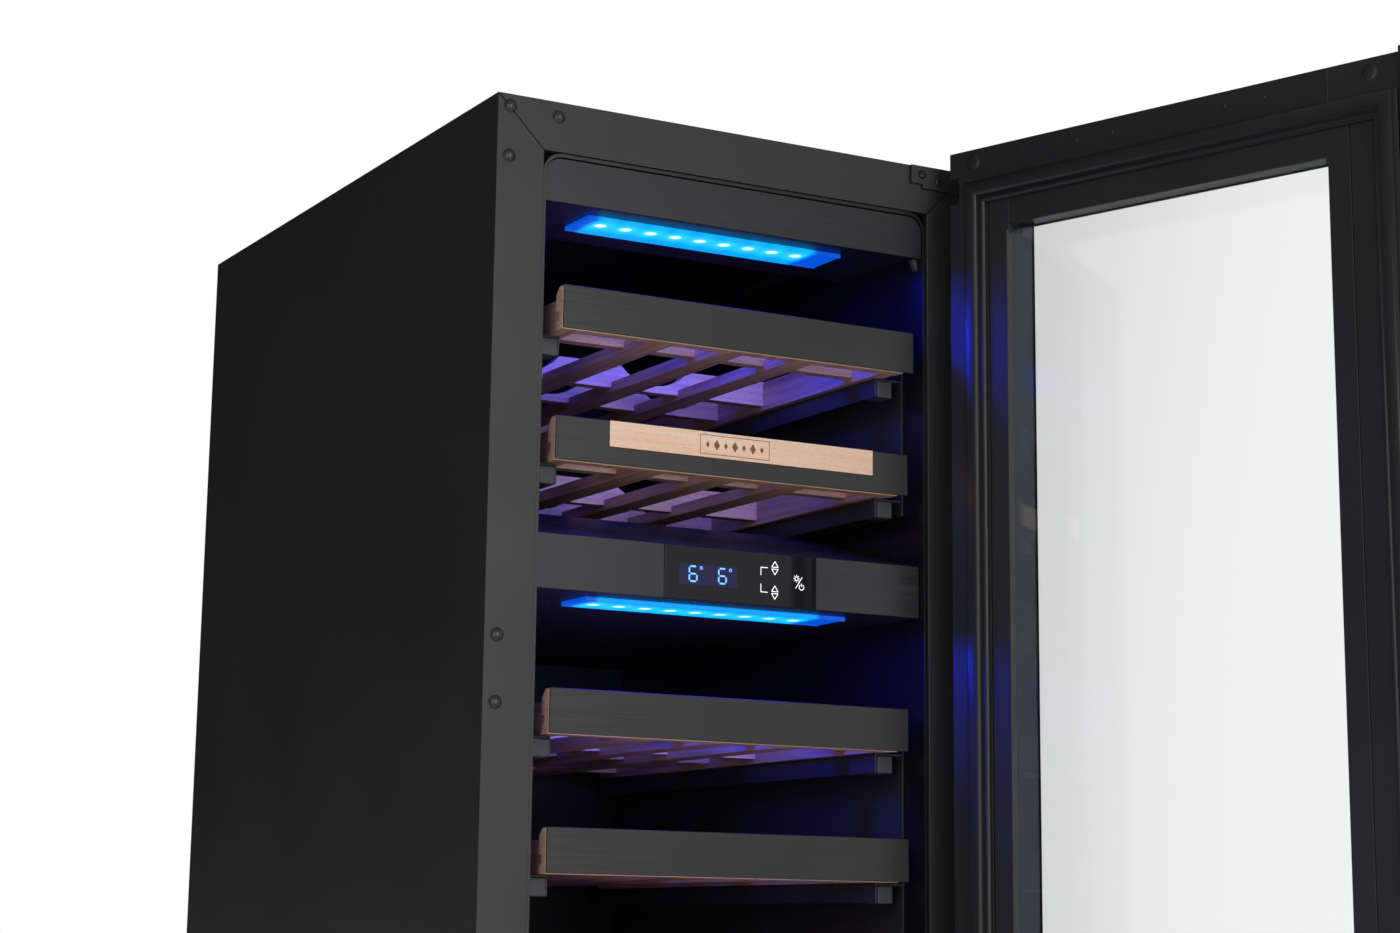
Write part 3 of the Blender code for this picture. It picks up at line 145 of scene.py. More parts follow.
def coating(name, colour, roughness, **sockets):
    """New material with its constant values on the shader itself."""
    material = bpy.data.materials.new(name)
    material.use_nodes = True
    shader = material.node_tree.nodes["Principled BSDF"]
    shader.inputs["Base Color"].default_value = linear(colour)
    shader.inputs["Roughness"].default_value = roughness
    for socket, value in sockets.items():
        shader.inputs[socket.replace("_", " ")].default_value = value
    material.diffuse_color = linear(colour)
    return material, material.node_tree, shader


def grained(name, colour, roughness, grain, depth, spread=0.08, tint=0.12, **sockets):
    """Sprayed or moulded surface: even grain of a size and depth in mm, with slow cloudy wear."""
    material, tree, shader = coating(name, colour, roughness, **sockets)
    place = add(tree, "ShaderNodeTexCoord").outputs["Object"]
    fine = add(tree, "ShaderNodeTexNoise", {"Vector": place, "Scale": 1 / (grain * MM), "Detail": 3.0})
    cloud = add(tree, "ShaderNodeTexNoise", {"Vector": place, "Scale": 9.0, "Detail": 4.0})
    dull = add(tree, "ShaderNodeMapRange", {
        "Value": cloud.outputs["Fac"], "From Min": 0.3, "From Max": 0.7,
        "To Min": roughness - spread, "To Max": roughness + spread})
    shade = add(tree, "ShaderNodeMix", {
        "Factor": fine.outputs["Fac"], "A": darker(colour, 1 - tint), "B": darker(colour, 1 + tint)},
        data_type="RGBA")
    relief = add(tree, "ShaderNodeBump", {
        "Height": fine.outputs["Fac"], "Distance": depth * MM, "Strength": 0.6})
    tree.links.new(colour_of(shade), shader.inputs["Base Color"])
    tree.links.new(dull.outputs["Result"], shader.inputs["Roughness"])
    tree.links.new(relief.outputs["Normal"], shader.inputs["Normal"])
    return material


def colour_of(mix):
    """The colour output of a Mix node, which also has a number and a vector output."""
    return next(out for out in mix.outputs if out.type == "RGBA")


def number_of(mix):
    """The number output of a Mix node."""
    return next(out for out in mix.outputs if out.type == "VALUE")


def darker(code, share):
    """A hex colour scaled in linear light."""
    colour = linear(code)
    return (*[min(1.0, channel * share) for channel in colour[:3]], 1.0)


def brushed(name, colour, roughness, length, width, depth, tint=0.25, **sockets):
    """Metal brushed along X: streaks of a length and width in mm vary its tone, gloss and relief."""
    material, tree, shader = coating(name, colour, roughness, **sockets)
    place = add(tree, "ShaderNodeTexCoord").outputs["Object"]
    stretch = (1 / (length * MM), 1 / (width * MM), 1 / (width * MM))
    laid = add(tree, "ShaderNodeMapping", {"Vector": place, "Scale": stretch})
    streak = add(tree, "ShaderNodeTexNoise", {"Vector": laid.outputs["Vector"], "Scale": 1.0, "Detail": 5.0})
    tone = add(tree, "ShaderNodeMix", {
        "Factor": streak.outputs["Fac"], "A": darker(colour, 1 - tint), "B": darker(colour, 1 + tint)},
        data_type="RGBA")
    gloss = add(tree, "ShaderNodeMapRange", {
        "Value": streak.outputs["Fac"], "From Min": 0.3, "From Max": 0.7,
        "To Min": roughness - 0.07, "To Max": roughness + 0.10})
    relief = add(tree, "ShaderNodeBump", {
        "Height": streak.outputs["Fac"], "Distance": depth * MM, "Strength": 0.5})
    tree.links.new(colour_of(tone), shader.inputs["Base Color"])
    tree.links.new(gloss.outputs["Result"], shader.inputs["Roughness"])
    tree.links.new(relief.outputs["Normal"], shader.inputs["Normal"])
    return material


def planed_beech(name, light, dark, along, roughness=0.48):
    """Planed, oiled beech: pinkish straight grain with the short dark flecks of its rays."""
    material, tree, shader = coating(name, light, roughness)
    place = add(tree, "ShaderNodeTexCoord").outputs["Object"]
    grain_size = {axis: 1 / (4 * MM) for axis in "XYZ"}
    grain_size[along] = 1 / (120 * MM)
    fleck_size = {axis: 1 / (0.7 * MM) for axis in "XYZ"}
    fleck_size[along] = 1 / (5 * MM)
    growth = add(tree, "ShaderNodeMapping", {"Vector": place, "Scale": [grain_size[axis] for axis in "XYZ"]})
    rays = add(tree, "ShaderNodeMapping", {"Vector": place, "Scale": [fleck_size[axis] for axis in "XYZ"]})
    bands = add(tree, "ShaderNodeTexNoise", {
        "Vector": growth.outputs["Vector"], "Scale": 1.0, "Detail": 6.0, "Distortion": 0.6})
    flecks = add(tree, "ShaderNodeTexNoise", {"Vector": rays.outputs["Vector"], "Scale": 1.0, "Detail": 1.0})
    tone = add(tree, "ShaderNodeValToRGB", {"Fac": bands.outputs["Fac"]})
    tone.color_ramp.elements[0].position = 0.30
    tone.color_ramp.elements[0].color = linear(dark)
    tone.color_ramp.elements[1].position = 0.68
    tone.color_ramp.elements[1].color = linear(light)
    mark = add(tree, "ShaderNodeMapRange", {
        "Value": flecks.outputs["Fac"], "From Min": 0.60, "From Max": 0.72, "To Min": 0.0, "To Max": 0.45})
    board = add(tree, "ShaderNodeMix", {
        "Factor": mark.outputs["Result"], "A": tone.outputs["Color"], "B": darker(dark, 0.55)},
        data_type="RGBA")
    relief = add(tree, "ShaderNodeBump", {
        "Height": bands.outputs["Fac"], "Distance": 0.15 * MM, "Strength": 0.5})
    tree.links.new(colour_of(board), shader.inputs["Base Color"])
    tree.links.new(relief.outputs["Normal"], shader.inputs["Normal"])
    return material


def stippled_abs():
    """Black ABS moulded with a coarse leathery stipple, 1.8 mm a cell: dull, with bright points."""
    material, tree, shader = coating("stippled_black_ABS", "#0c0c12", 0.42)
    place = add(tree, "ShaderNodeTexCoord").outputs["Object"]
    cells = add(tree, "ShaderNodeTexVoronoi", {"Vector": place, "Scale": 1 / (1.8 * MM), "Randomness": 0.9})
    tone = add(tree, "ShaderNodeMapRange", {
        "Value": cells.outputs["Distance"], "From Min": 0.1, "From Max": 0.7,
        "To Min": 0.25, "To Max": 0.62})
    relief = add(tree, "ShaderNodeBump", {
        "Height": cells.outputs["Distance"], "Distance": 0.5 * MM, "Strength": 0.9}, invert=True)
    tree.links.new(tone.outputs["Result"], shader.inputs["Roughness"])
    tree.links.new(relief.outputs["Normal"], shader.inputs["Normal"])
    return material


def lamp_lens():
    """Frosted polycarbonate over nine blue lamps: each lamp burns through as a white spot."""
    material, tree, shader = coating("frosted_polycarbonate_lamp_lens", "#0a3a66", 0.30)
    half_row = LAMP_PITCH * LAMPS / 2
    fade = 4 * MM
    halo = 40 * MM
    place = add(tree, "ShaderNodeTexCoord").outputs["Object"]
    apart = add(tree, "ShaderNodeSeparateXYZ", {"Vector": place})
    centred = add(tree, "ShaderNodeMath", {0: apart.outputs["X"], 1: LAMP_OFFSET}, operation="ADD")
    shifted = add(tree, "ShaderNodeMath", {0: centred.outputs[0], 1: half_row}, operation="ADD")
    wrapped = add(tree, "ShaderNodeMath", {0: shifted.outputs[0], 1: LAMP_PITCH}, operation="MODULO")
    across = add(tree, "ShaderNodeMath", {0: wrapped.outputs[0], 1: LAMP_PITCH / 2}, operation="SUBTRACT")
    depth = add(tree, "ShaderNodeMath", {0: apart.outputs["Y"], 1: FRONT + LAMP_LINE}, operation="SUBTRACT")
    flat = add(tree, "ShaderNodeCombineXYZ", {"X": across.outputs[0], "Y": depth.outputs[0], "Z": 0.0})
    away = add(tree, "ShaderNodeVectorMath", {0: flat.outputs[0]}, operation="LENGTH")
    inside = add(tree, "ShaderNodeMath", {0: centred.outputs[0]}, operation="ABSOLUTE")
    lit = add(tree, "ShaderNodeMapRange", {
        "Value": inside.outputs[0], "From Min": half_row - fade, "From Max": half_row + fade,
        "To Min": 0.0, "To Max": halo})
    reach = add(tree, "ShaderNodeMath", {
        0: away.outputs["Value"], 1: lit.outputs["Result"]}, operation="ADD")
    scaled = add(tree, "ShaderNodeMath", {0: reach.outputs[0], 1: 1 / halo}, operation="MULTIPLY")
    glow = add(tree, "ShaderNodeValToRGB", {"Fac": scaled.outputs[0]})
    stops = glow.color_ramp.elements
    stops[0].position = 0.07
    stops[0].color = (0.80, 1.0, 1.0, 1.0)
    stops[1].position = 1.0
    stops[1].color = (0.0, 0.07, 0.55, 1.0)
    ring = stops.new(0.13)
    ring.color = (0.02, 0.62, 1.0, 1.0)
    field = stops.new(0.40)
    field.color = (0.0, 0.36, 0.95, 1.0)
    tree.links.new(glow.outputs["Color"], shader.inputs["Emission Color"])
    shader.inputs["Emission Strength"].default_value = 1.15
    frost = add(tree, "ShaderNodeTexNoise", {"Vector": place, "Scale": 1 / (1.2 * MM)})
    relief = add(tree, "ShaderNodeBump", {"Height": frost.outputs["Fac"], "Distance": 0.1 * MM})
    tree.links.new(relief.outputs["Normal"], shader.inputs["Normal"])
    return material


def glowing(name, colour, strength):
    """Lit segment or icon behind the control glass, with the slight mottle of its diffuser."""
    material, tree, shader = coating(name, colour, 0.4)
    place = add(tree, "ShaderNodeTexCoord").outputs["Object"]
    mottle = add(tree, "ShaderNodeTexNoise", {"Vector": place, "Scale": 1 / (1.5 * MM)})
    tone = add(tree, "ShaderNodeMix", {
        "Factor": mottle.outputs["Fac"], "A": darker(colour, 0.75), "B": darker(colour, 1.2)},
        data_type="RGBA")
    tree.links.new(colour_of(tone), shader.inputs["Emission Color"])
    shader.inputs["Emission Strength"].default_value = strength
    return material


def float_glass():
    """Clear float glass: seen through, with a faint cool cast and a clean reflection."""
    material, tree, shader = coating("clear_float_glass", "#fdfefe", 0.0, IOR=1.45, Transmission_Weight=1.0)
    place = add(tree, "ShaderNodeTexCoord").outputs["Object"]
    film = add(tree, "ShaderNodeTexNoise", {"Vector": place, "Scale": 5.0, "Detail": 2.0})
    haze = add(tree, "ShaderNodeMapRange", {
        "Value": film.outputs["Fac"], "From Min": 0.35, "From Max": 0.75, "To Min": 0.0, "To Max": 0.01})
    tree.links.new(haze.outputs["Result"], shader.inputs["Roughness"])
    return material


def perforated_spacer():
    """Coated aluminium spacer bar: its pin holes, 6 mm apart, let the drying agent breathe."""
    bar = "#2c3944"
    half_pitch = 3 * MM
    hole_radius = 0.5 * MM
    hole_edge = 0.9 * MM
    material, tree, shader = coating("perforated_aluminium_spacer", bar, 0.34, Metallic=0.6)
    place = add(tree, "ShaderNodeUVMap", uv_map="shut")
    apart = add(tree, "ShaderNodeSeparateXYZ", {"Vector": place.outputs["UV"]})
    parts = []
    for axis in ("X", "Y"):
        wrapped = add(tree, "ShaderNodeMath", {0: apart.outputs[axis], 1: half_pitch}, operation="PINGPONG")
        parts.append(wrapped.outputs[0])
    flat = add(tree, "ShaderNodeCombineXYZ", {"X": parts[0], "Y": parts[1], "Z": 0.0})
    away = add(tree, "ShaderNodeVectorMath", {0: flat.outputs[0]}, operation="LENGTH")
    hole = add(tree, "ShaderNodeMapRange", {
        "Value": away.outputs["Value"], "From Min": hole_radius, "From Max": hole_edge})
    tone = add(tree, "ShaderNodeMix", {
        "Factor": hole.outputs["Result"], "A": linear("#050608"), "B": linear(bar)}, data_type="RGBA")
    tree.links.new(colour_of(tone), shader.inputs["Base Color"])
    return material


def make_materials():
    """Every finish of the cooler, under the name its pieces ask for."""
    return {
        # Sprayed and baked powder on steel: dense black, satin, with a slight sandy tooth
        "powder_coat": grained("powder_coated_steel", "#2a2a2b", 0.44, 1.4, 0.05, 0.05, 0.10),
        # Coated strip on the shelves: smoother than the casing
        "strip": brushed("satin_coated_strip", "#242426", 0.40, 60, 1.4, 0.02, 0.08),
        # Brushed and black-anodised plate across the fascias
        "brushed_black": brushed("black_anodised_brushed_aluminium", "#3b3b3e", 0.36, 28, 0.9, 0.04, 0.30,
                                 Metallic=0.75),
        # High-gloss moulded inner box: deep black that carries the blue light
        "liner": grained("moulded_black_HIPS_liner", "#101014", 0.30, 2.2, 0.05, 0.06, 0.10),
        # Divider shell, moulded against an etched tool
        "stipple": stippled_abs(),
        # Satin black ABS of the door frame and the grilles, painted a little lighter than its own black as
        # painted light reflected in the door frame
        "abs": grained("satin_black_ABS_painted_light", "#2b2b2c", 0.40, 1.1, 0.04, 0.06, 0.10),
        # Plugs and cover strip from a polished tool: small sharp glints; the colour is painted a little
        # lighter than black, as painted highlight on the domes
        "gloss_abs_painted_highlight": grained("polished_black_ABS_painted_highlight", "#303032", 0.22, 1.6, 0.02, 0.05, 0.08),
        # Supports moulded in dark grey acetal, a little waxy
        "acetal": grained("grey_acetal", "#2a2b2f", 0.48, 1.3, 0.05, 0.06, 0.10),
        # Soft PVC gasket: satin, with a faint drag along its folds
        "pvc": grained("soft_black_PVC", "#29292b", 0.32, 2.5, 0.03, 0.05, 0.10),
        # Moulded rubber of the feet and grommet: matt, with a fine crumb
        "rubber": grained("black_rubber", "#141414", 0.72, 0.9, 0.08, 0.08, 0.15),
        # Racks of planed beech: the front boards are painted paler than the slats behind them, as painted
        # light on the boards and their ends
        "beech_x_painted_light": planed_beech("planed_beech_crosswise_painted_light", "#f6cdb2", "#d5a688", "X"),
        "beech_y": planed_beech("planed_beech_lengthwise", "#d6aa8d", "#ad7f65", "Y"),
        # Selected pale beech on the name strip
        "beech_face": planed_beech("sanded_beech_veneer", "#ffe0c8", "#ffcfae", "X", 0.55),
        # Mark burnt into the beech: brown and dull
        "scorched": grained("scorched_beech", "#8a5a34", 0.62, 0.9, 0.08, 0.05, 0.35),
        # Hot-dip zinc on the rear sheets: pale, with a cloudy spangle
        "zinc": grained("zinc_coated_sheet", "#9fa3a6", 0.42, 7.0, 0.02, 0.08, 0.18, Metallic=0.9),
        # Rolled aluminium of the fins: fine lines along the sheet
        "aluminium": brushed("mill_finish_aluminium", "#b9bcc0", 0.34, 30, 1.0, 0.03, 0.10, Metallic=1.0),
        # Extruded, dyed and sealed handle bar: even and deep, with a soft edge light
        "anodised": grained("black_anodised_aluminium", "#19191a", 0.36, 1.2, 0.02, 0.05, 0.08,
                            Metallic=0.4),
        # Stoved gloss enamel on the compressor's pressed can
        "enamel": grained("stove_enamelled_can", "#141414", 0.18, 3.0, 0.04, 0.04, 0.10),
        # Foam between the skins, dark faced where it shows at the liner's corner
        "foam": grained("bitumen_faced_polyurethane_foam", "#1c1b19", 0.90, 1.5, 0.30, 0.05, 0.15),
        # Turned screw heads, blackened: faint rings of tool marks
        "screw_steel": brushed("blackened_screw_steel", "#3a3a3c", 0.30, 4, 0.5, 0.03, 0.15, Metallic=0.9),
        # Black-backed glass over the display
        "panel_glass": grained("black_backed_glass", "#1b1b22", 0.07, 6.0, 0.004, 0.03, 0.05),
        # Tinted film over the figures, a little violet under the lamps
        "display": grained("display_filter_film", "#26234f", 0.12, 4.0, 0.004, 0.03, 0.08),
        # Ceramic enamel fired on glass: flat and opaque
        "frit": grained("black_ceramic_frit", "#0c0c0d", 0.35, 0.8, 0.01, 0.05, 0.10),
        # Green solder mask with a slight gloss
        "board": grained("solder_masked_board", "#14532a", 0.40, 2.0, 0.05, 0.06, 0.20),
        # Undyed nylon mouldings, waxy and slightly clouded
        "clip": grained("natural_grey_nylon", "#3c3e43", 0.45, 1.2, 0.04, 0.06, 0.08),
        "glass": float_glass(),
        "lens": lamp_lens(),
        "spacer": perforated_spacer(),
        # Lamp light through diffusers behind the control glass
        "blue_segment": glowing("lit_blue_segment", "#5f9dff", 1.6),
        "white_icon": glowing("lit_white_icon", "#e8e8ee", 0.9),
    }


# ---- Mesh tools ----------------------------------------------------------------------------------

def as_object(name, bm, material):
    """Object with a finished mesh and one finish, smooth but for its sharp edges."""
    mesh = bpy.data.meshes.new(name)
    bm.to_mesh(mesh)
    bm.free()
    item = bpy.data.objects.new(name, mesh)
    bpy.context.scene.collection.objects.link(item)
    mesh.materials.append(material)
    mesh.shade_smooth()
    mesh.set_sharp_from_angle(angle=SMOOTH)
    return item


def clean(bm):
    """Sew a mesh's split corners and take the cuts out of its flat faces."""
    bmesh.ops.remove_doubles(bm, verts=bm.verts, dist=0.002 * MM)
    bmesh.ops.dissolve_limit(bm, angle_limit=math.radians(0.4), verts=bm.verts, edges=bm.edges)


def soften(item, width, segments=2):
    """Round an object's corners by a width in mm."""
    bevel = item.modifiers.new("rounded_edges", "BEVEL")
    bevel.width = width * MM
    bevel.segments = segments
    bevel.limit_method = "ANGLE"
    bevel.angle_limit = math.radians(30)
    bevel.use_clamp_overlap = True
    bevel.harden_normals = False
    even = item.modifiers.new("even_normals", "WEIGHTED_NORMAL")
    even.keep_sharp = True
    even.weight = 60
    item.data.set_sharp_from_angle(angle=math.radians(180))
    return item


def copy_of(node, name, material):
    """Cleaned copy of a node's mesh, in place."""
    bm = bmesh.new()
    bm.from_mesh(frame["nodes"][node].data)
    clean(bm)
    return as_object(name, bm, material)


def stand_for(item, node):
    """Let a piece move with a node's body and take that node's place."""
    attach(item, body_of(node))
    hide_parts(node)


def fitting(item, body):
    """Let an added piece move with a body."""
    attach(item, body)


def dressed(node, material, width, segments=2):
    """Softened copy of a node that stands for it."""
    item = copy_of(node, node + "_shown", material)
    soften(item, width, segments)
    stand_for(item, node)


def extruded(name, outline, axis, start, end, material):
    """Solid drawn out along an axis from a closed outline in the plane across it."""
    bm = bmesh.new()
    spots = {"X": lambda a, b, t: (t, a, b), "Y": lambda a, b, t: (a, t, b), "Z": lambda a, b, t: (a, b, t)}
    near = [bm.verts.new(spots[axis](a, b, start)) for a, b in outline]
    far = [bm.verts.new(spots[axis](a, b, end)) for a, b in outline]
    bm.faces.new(near)
    bm.faces.new(far)
    for i in range(len(outline)):
        bm.faces.new((near[i - 1], near[i], far[i], far[i - 1]))
    bmesh.ops.recalc_face_normals(bm, faces=bm.faces)
    return as_object(name, bm, material)


def plate(name, low, high, material, width=0.4, segments=2):
    """Block between two corners with rounded edges."""
    outline = [(low[0], low[1]), (high[0], low[1]), (high[0], high[1]), (low[0], high[1])]
    return soften(extruded(name, outline, "Z", low[2], high[2], material), width, segments)


def turned(name, profile, material, steps=40):
    """Solid of revolution about Z from (radius, height) points in mm, closed on its axis."""
    bm = bmesh.new()
    rings = []
    for radius, height in profile:
        count = steps if radius > 0 else 1
        angles = [2 * math.pi * i / steps for i in range(count)]
        ring = [(radius * MM * math.cos(t), radius * MM * math.sin(t), height * MM) for t in angles]
        rings.append([bm.verts.new(point) for point in ring])
    for low, high in zip(rings, rings[1:]):
        for i in range(steps):
            corners = [low[(i - 1) % len(low)], low[i % len(low)]]
            corners += [high[i % len(high)], high[(i - 1) % len(high)]]
            bm.faces.new(list(dict.fromkeys(corners)))
    bmesh.ops.recalc_face_normals(bm, faces=bm.faces)
    return as_object(name, bm, material)


def mitred_ring(name, profile, outer, material):
    """Frame with mitred corners; its section is (distance in from the outer edge, depth) points."""
    left, bottom, right, top = outer
    bm = bmesh.new()
    loops = []
    for inset, y in profile:
        corners = [(left + inset, bottom + inset), (right - inset, bottom + inset),
                   (right - inset, top - inset), (left + inset, top - inset)]
        loops.append([bm.verts.new((x, y, z)) for x, z in corners])
    for one, other in zip(loops, loops[1:] + loops[:1]):
        for i in range(4):
            bm.faces.new((one[i - 1], one[i], other[i], other[i - 1]))
    bmesh.ops.recalc_face_normals(bm, faces=bm.faces)
    return as_object(name, bm, material)


def put(item, place, turn=None):
    """Move a shape within its object, after an optional turn."""
    matrix = Matrix.Translation(place)
    if turn is not None:
        matrix = matrix @ turn
    item.data.transform(matrix)


def on_door(item):
    """Swing a piece drawn for the shut door out to where the door stands open."""
    item.data.transform(DOOR_OPEN)
    fitting(item, "door")


def joined(name, items):
    """One object from several that share a finish."""
    bm = bmesh.new()
    material = items[0].data.materials[0]
    for item in items:
        bm.from_mesh(item.data)
        bpy.data.objects.remove(item)
    return as_object(name, bm, material)


# ---- Cabinet -------------------------------------------------------------------------------------

def cabinet_skins(finish):
    """Casing and plates: each folded sheet gets the small radius of its folds."""
    for node in ("left_side_panel", "right_side_panel", "top_panel", "bottom_front_rail"):
        dressed(node, finish["powder_coat"], 0.5)
    dressed("kick_grille", finish["abs"], 0.5)
    for node in ("back_panel", "base_plate", "compressor_cover", "compartment_partition"):
        dressed(node, finish["zinc"], 0.3)
    for node in ("top_hinge_bracket", "bottom_hinge_bracket"):
        dressed(node, finish["powder_coat"], 0.4)
    for node in sorted(frame["nodes"]):
        if node.endswith("_foot") or node == "cord_grommet":
            dressed(node, finish["rubber"], 0.4)


def plug_cap(name, place, finish):
    """Domed snap-in plug over a spare hinge hole in the casing."""
    profile = [(0, 2.9), (1.4, 2.8), (2.7, 2.3), (3.7, 1.5), (4.2, 0.7), (4.5, 0.5), (4.7, 0.25),
               (4.7, 0.0), (0, 0.0)]
    # The cap's polished finish is painted a little lighter, as painted highlight on its dome
    cap = turned(name, profile, finish["gloss_abs_painted_highlight"])
    put(cap, place, FACING_FRONT)
    fitting(cap, "cabinet")


def plug_caps(finish):
    """Caps down both stiles, and one on the top rail opposite the hinge."""
    edge = HALF_WIDTH - 9 * MM
    drops = (43 * MM, 364 * MM, 407.5 * MM)
    face = FRONT - HAIR
    for word, side in (("left", -1), ("right", 1)):
        for number, drop in enumerate(drops, start=1):
            if side > 0 and number == 1:
                continue
            place = Vector((side * edge, face, CABINET_TOP - drop))
            plug_cap(f"{word}_stile_plug_{number}", place, finish)
    plug_cap("corner_plug", Vector((-edge, face, CABINET_TOP - 8.5 * MM)), finish)
    plug_cap("top_rail_plug", Vector((-HALF_WIDTH + 45.3 * MM, face, CABINET_TOP - 10.5 * MM)), finish)


def crosshead_screw(name, place, turn, finish, radius=3.2):
    """Pan-head screw with a cross recess."""
    profile = [(0, 1.9), (radius * 0.45, 1.8), (radius * 0.8, 1.4), (radius, 0.6), (radius, 0), (0, 0)]
    head = turned(name, profile, finish["screw_steel"], 28)
    cross = []
    for width, length in ((0.35, 1.8), (1.8, 0.35)):
        bit = [(-length, -width), (length, -width), (length, width), (-length, width)]
        outline = [(a * MM, b * MM) for a, b in bit]
        cross.append(extruded("recess", outline, "Z", 0.9 * MM, 3 * MM, finish["screw_steel"]))
    for number, bar in enumerate(cross):
        step = head.modifiers.new(f"recess_{number}", "BOOLEAN")
        step.operation = "DIFFERENCE"
        step.object = bar
    bpy.context.view_layer.update()
    graph = bpy.context.evaluated_depsgraph_get()
    head.data = bpy.data.meshes.new_from_object(head.evaluated_get(graph))
    head.modifiers.clear()
    for bar in cross:
        bpy.data.objects.remove(bar)
    put(head, place, turn)
    fitting(head, "cabinet")


def hinge_screws(finish):
    """Two screws through each hinge leaf into the stile."""
    leaf = 2.85 * MM  # the leaf's face before the stile
    for word, node in (("top", "top_hinge_bracket"), ("bottom", "bottom_hinge_bracket")):
        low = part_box(node)[0]
        face = FRONT - leaf
        if word == "top":
            spots = [(low.x + 9 * MM, CABINET_TOP - 7 * MM), (low.x + 23 * MM, CABINET_TOP - 10.5 * MM)]
        else:
            spots = [(low.x + 12 * MM, low.z + 8 * MM), (low.x + 12 * MM, low.z + 20 * MM)]
        for number, (x, z) in enumerate(spots, start=1):
            turn = FACING_FRONT @ Matrix.Rotation(math.radians(20 * number), 4, "Z")
            crosshead_screw(f"{word}_hinge_screw_{number}", Vector((x, face, z)), turn, finish)


def casing_screws(finish):
    """Two rows of screws in the rear cover."""
    low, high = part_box("compressor_cover")
    face = high.y + HAIR
    inset = 14 * MM
    corner = 26 * MM
    for row, z in enumerate((low.z + inset, high.z - inset)):
        for column, x in enumerate((low.x + corner, 0, high.x - corner)):
            name = f"cover_screw_{row}_{column}"
            crosshead_screw(name, Vector((x, face, z)), FACING_BACK, finish, radius=2.6)


# ---- Inside --------------------------------------------------------------------------------------

def inside_skins(finish):
    """Liner, fascias, lamps and the cooling set, with their moulded or folded edges rounded."""
    dressed("liner", finish["liner"], 0.9, 3)
    dressed("top_fascia", finish["brushed_black"], 0.5)
    dressed("control_fascia", finish["brushed_black"], 0.3)
    dressed("control_glass", finish["panel_glass"], 0.3)
    dressed("zone_divider", finish["stipple"], 1.2, 3)
    for zone in ("upper", "lower"):
        dressed(f"{zone}_air_cover", finish["liner"], 0.6)
        dressed(f"{zone}_evaporator", finish["aluminium"], 1.2)
        dressed(f"{zone}_fan", finish["abs"], 0.3)
        dressed(f"{zone}_led_bar", finish["lens"], 0.5)
        for word in ("left", "right"):
            dressed(f"{zone}_{word}_shelf_support", finish["acetal"], 0.35)
    dressed("compressor", finish["enamel"], 0.8)
    dressed("condenser", finish["aluminium"], 0.2)
    dressed("condenser_fan_frame", finish["abs"], 0.8)
    dressed("condenser_fan", finish["abs"], 0.3)
    dressed("drain_tray", finish["acetal"], 0.5)
    dressed("insulation_foam", finish["foam"], 0.5)
    dressed("control_board", finish["board"], 0.2)


def lamp_frames(finish):
    """Thin clear rim round each lamp lens, which catches the light as a bright line."""
    for zone in ("upper", "lower"):
        low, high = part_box(f"{zone}_led_bar")
        rim = 1.6 * MM
        under = low.z - 0.5 * MM
        for word, y in (("front", low.y), ("rear", high.y - rim)):
            bar = plate(f"{zone}_lamp_{word}_rim", (low.x, y, under), (high.x, y + rim, low.z - HAIR),
                        finish["lens"], 0.15)
            fitting(bar, "cabinet")


def stroke(name, start, end, width, plane_y, thick, material):
    """Straight thin bar on the control glass between two (x, z) points."""
    a = Vector(start)
    b = Vector(end)
    along = (b - a).normalized()
    across = Vector((-along.y, along.x)) * width / 2
    outline = [tuple(a - across), tuple(b - across), tuple(b + across), tuple(a + across)]
    return extruded(name, outline, "Y", plane_y - thick, plane_y, material)


def figure(centre, height, width, segments, plane_y, material):
    """Seven-segment figure; the segments are named from the top, clockwise, with g in the middle."""
    x, z = centre
    w = width / 2
    h = height / 2
    ends = {
        "a": ((x - w, z + h), (x + w, z + h)), "b": ((x + w, z + h), (x + w, z)),
        "c": ((x + w, z), (x + w, z - h)), "d": ((x - w, z - h), (x + w, z - h)),
        "e": ((x - w, z), (x - w, z - h)), "f": ((x - w, z + h), (x - w, z)),
        "g": ((x - w, z), (x + w, z))}
    bars = []
    for segment in segments:
        start, end = (Vector(point) for point in ends[segment])
        trim = (end - start).normalized() * 0.75 * MM
        bars.append(stroke("bar", start + trim, end - trim, 1.1 * MM, plane_y, MARK_THICK, material))
    return bars


def ring_line(centre, radius, width, plane_y, material, start=0, end=360):
    """Thin circle, or part of one, on the control glass."""
    steps = 20
    bars = []
    for i in range(steps):
        angles = [math.radians(start + (end - start) * k / steps) for k in (i, i + 1)]
        points = [(centre[0] + radius * math.cos(t), centre[1] + radius * math.sin(t)) for t in angles]
        bars.append(stroke("arc", points[0], points[1], width, plane_y, MARK_THICK, material))
    return bars


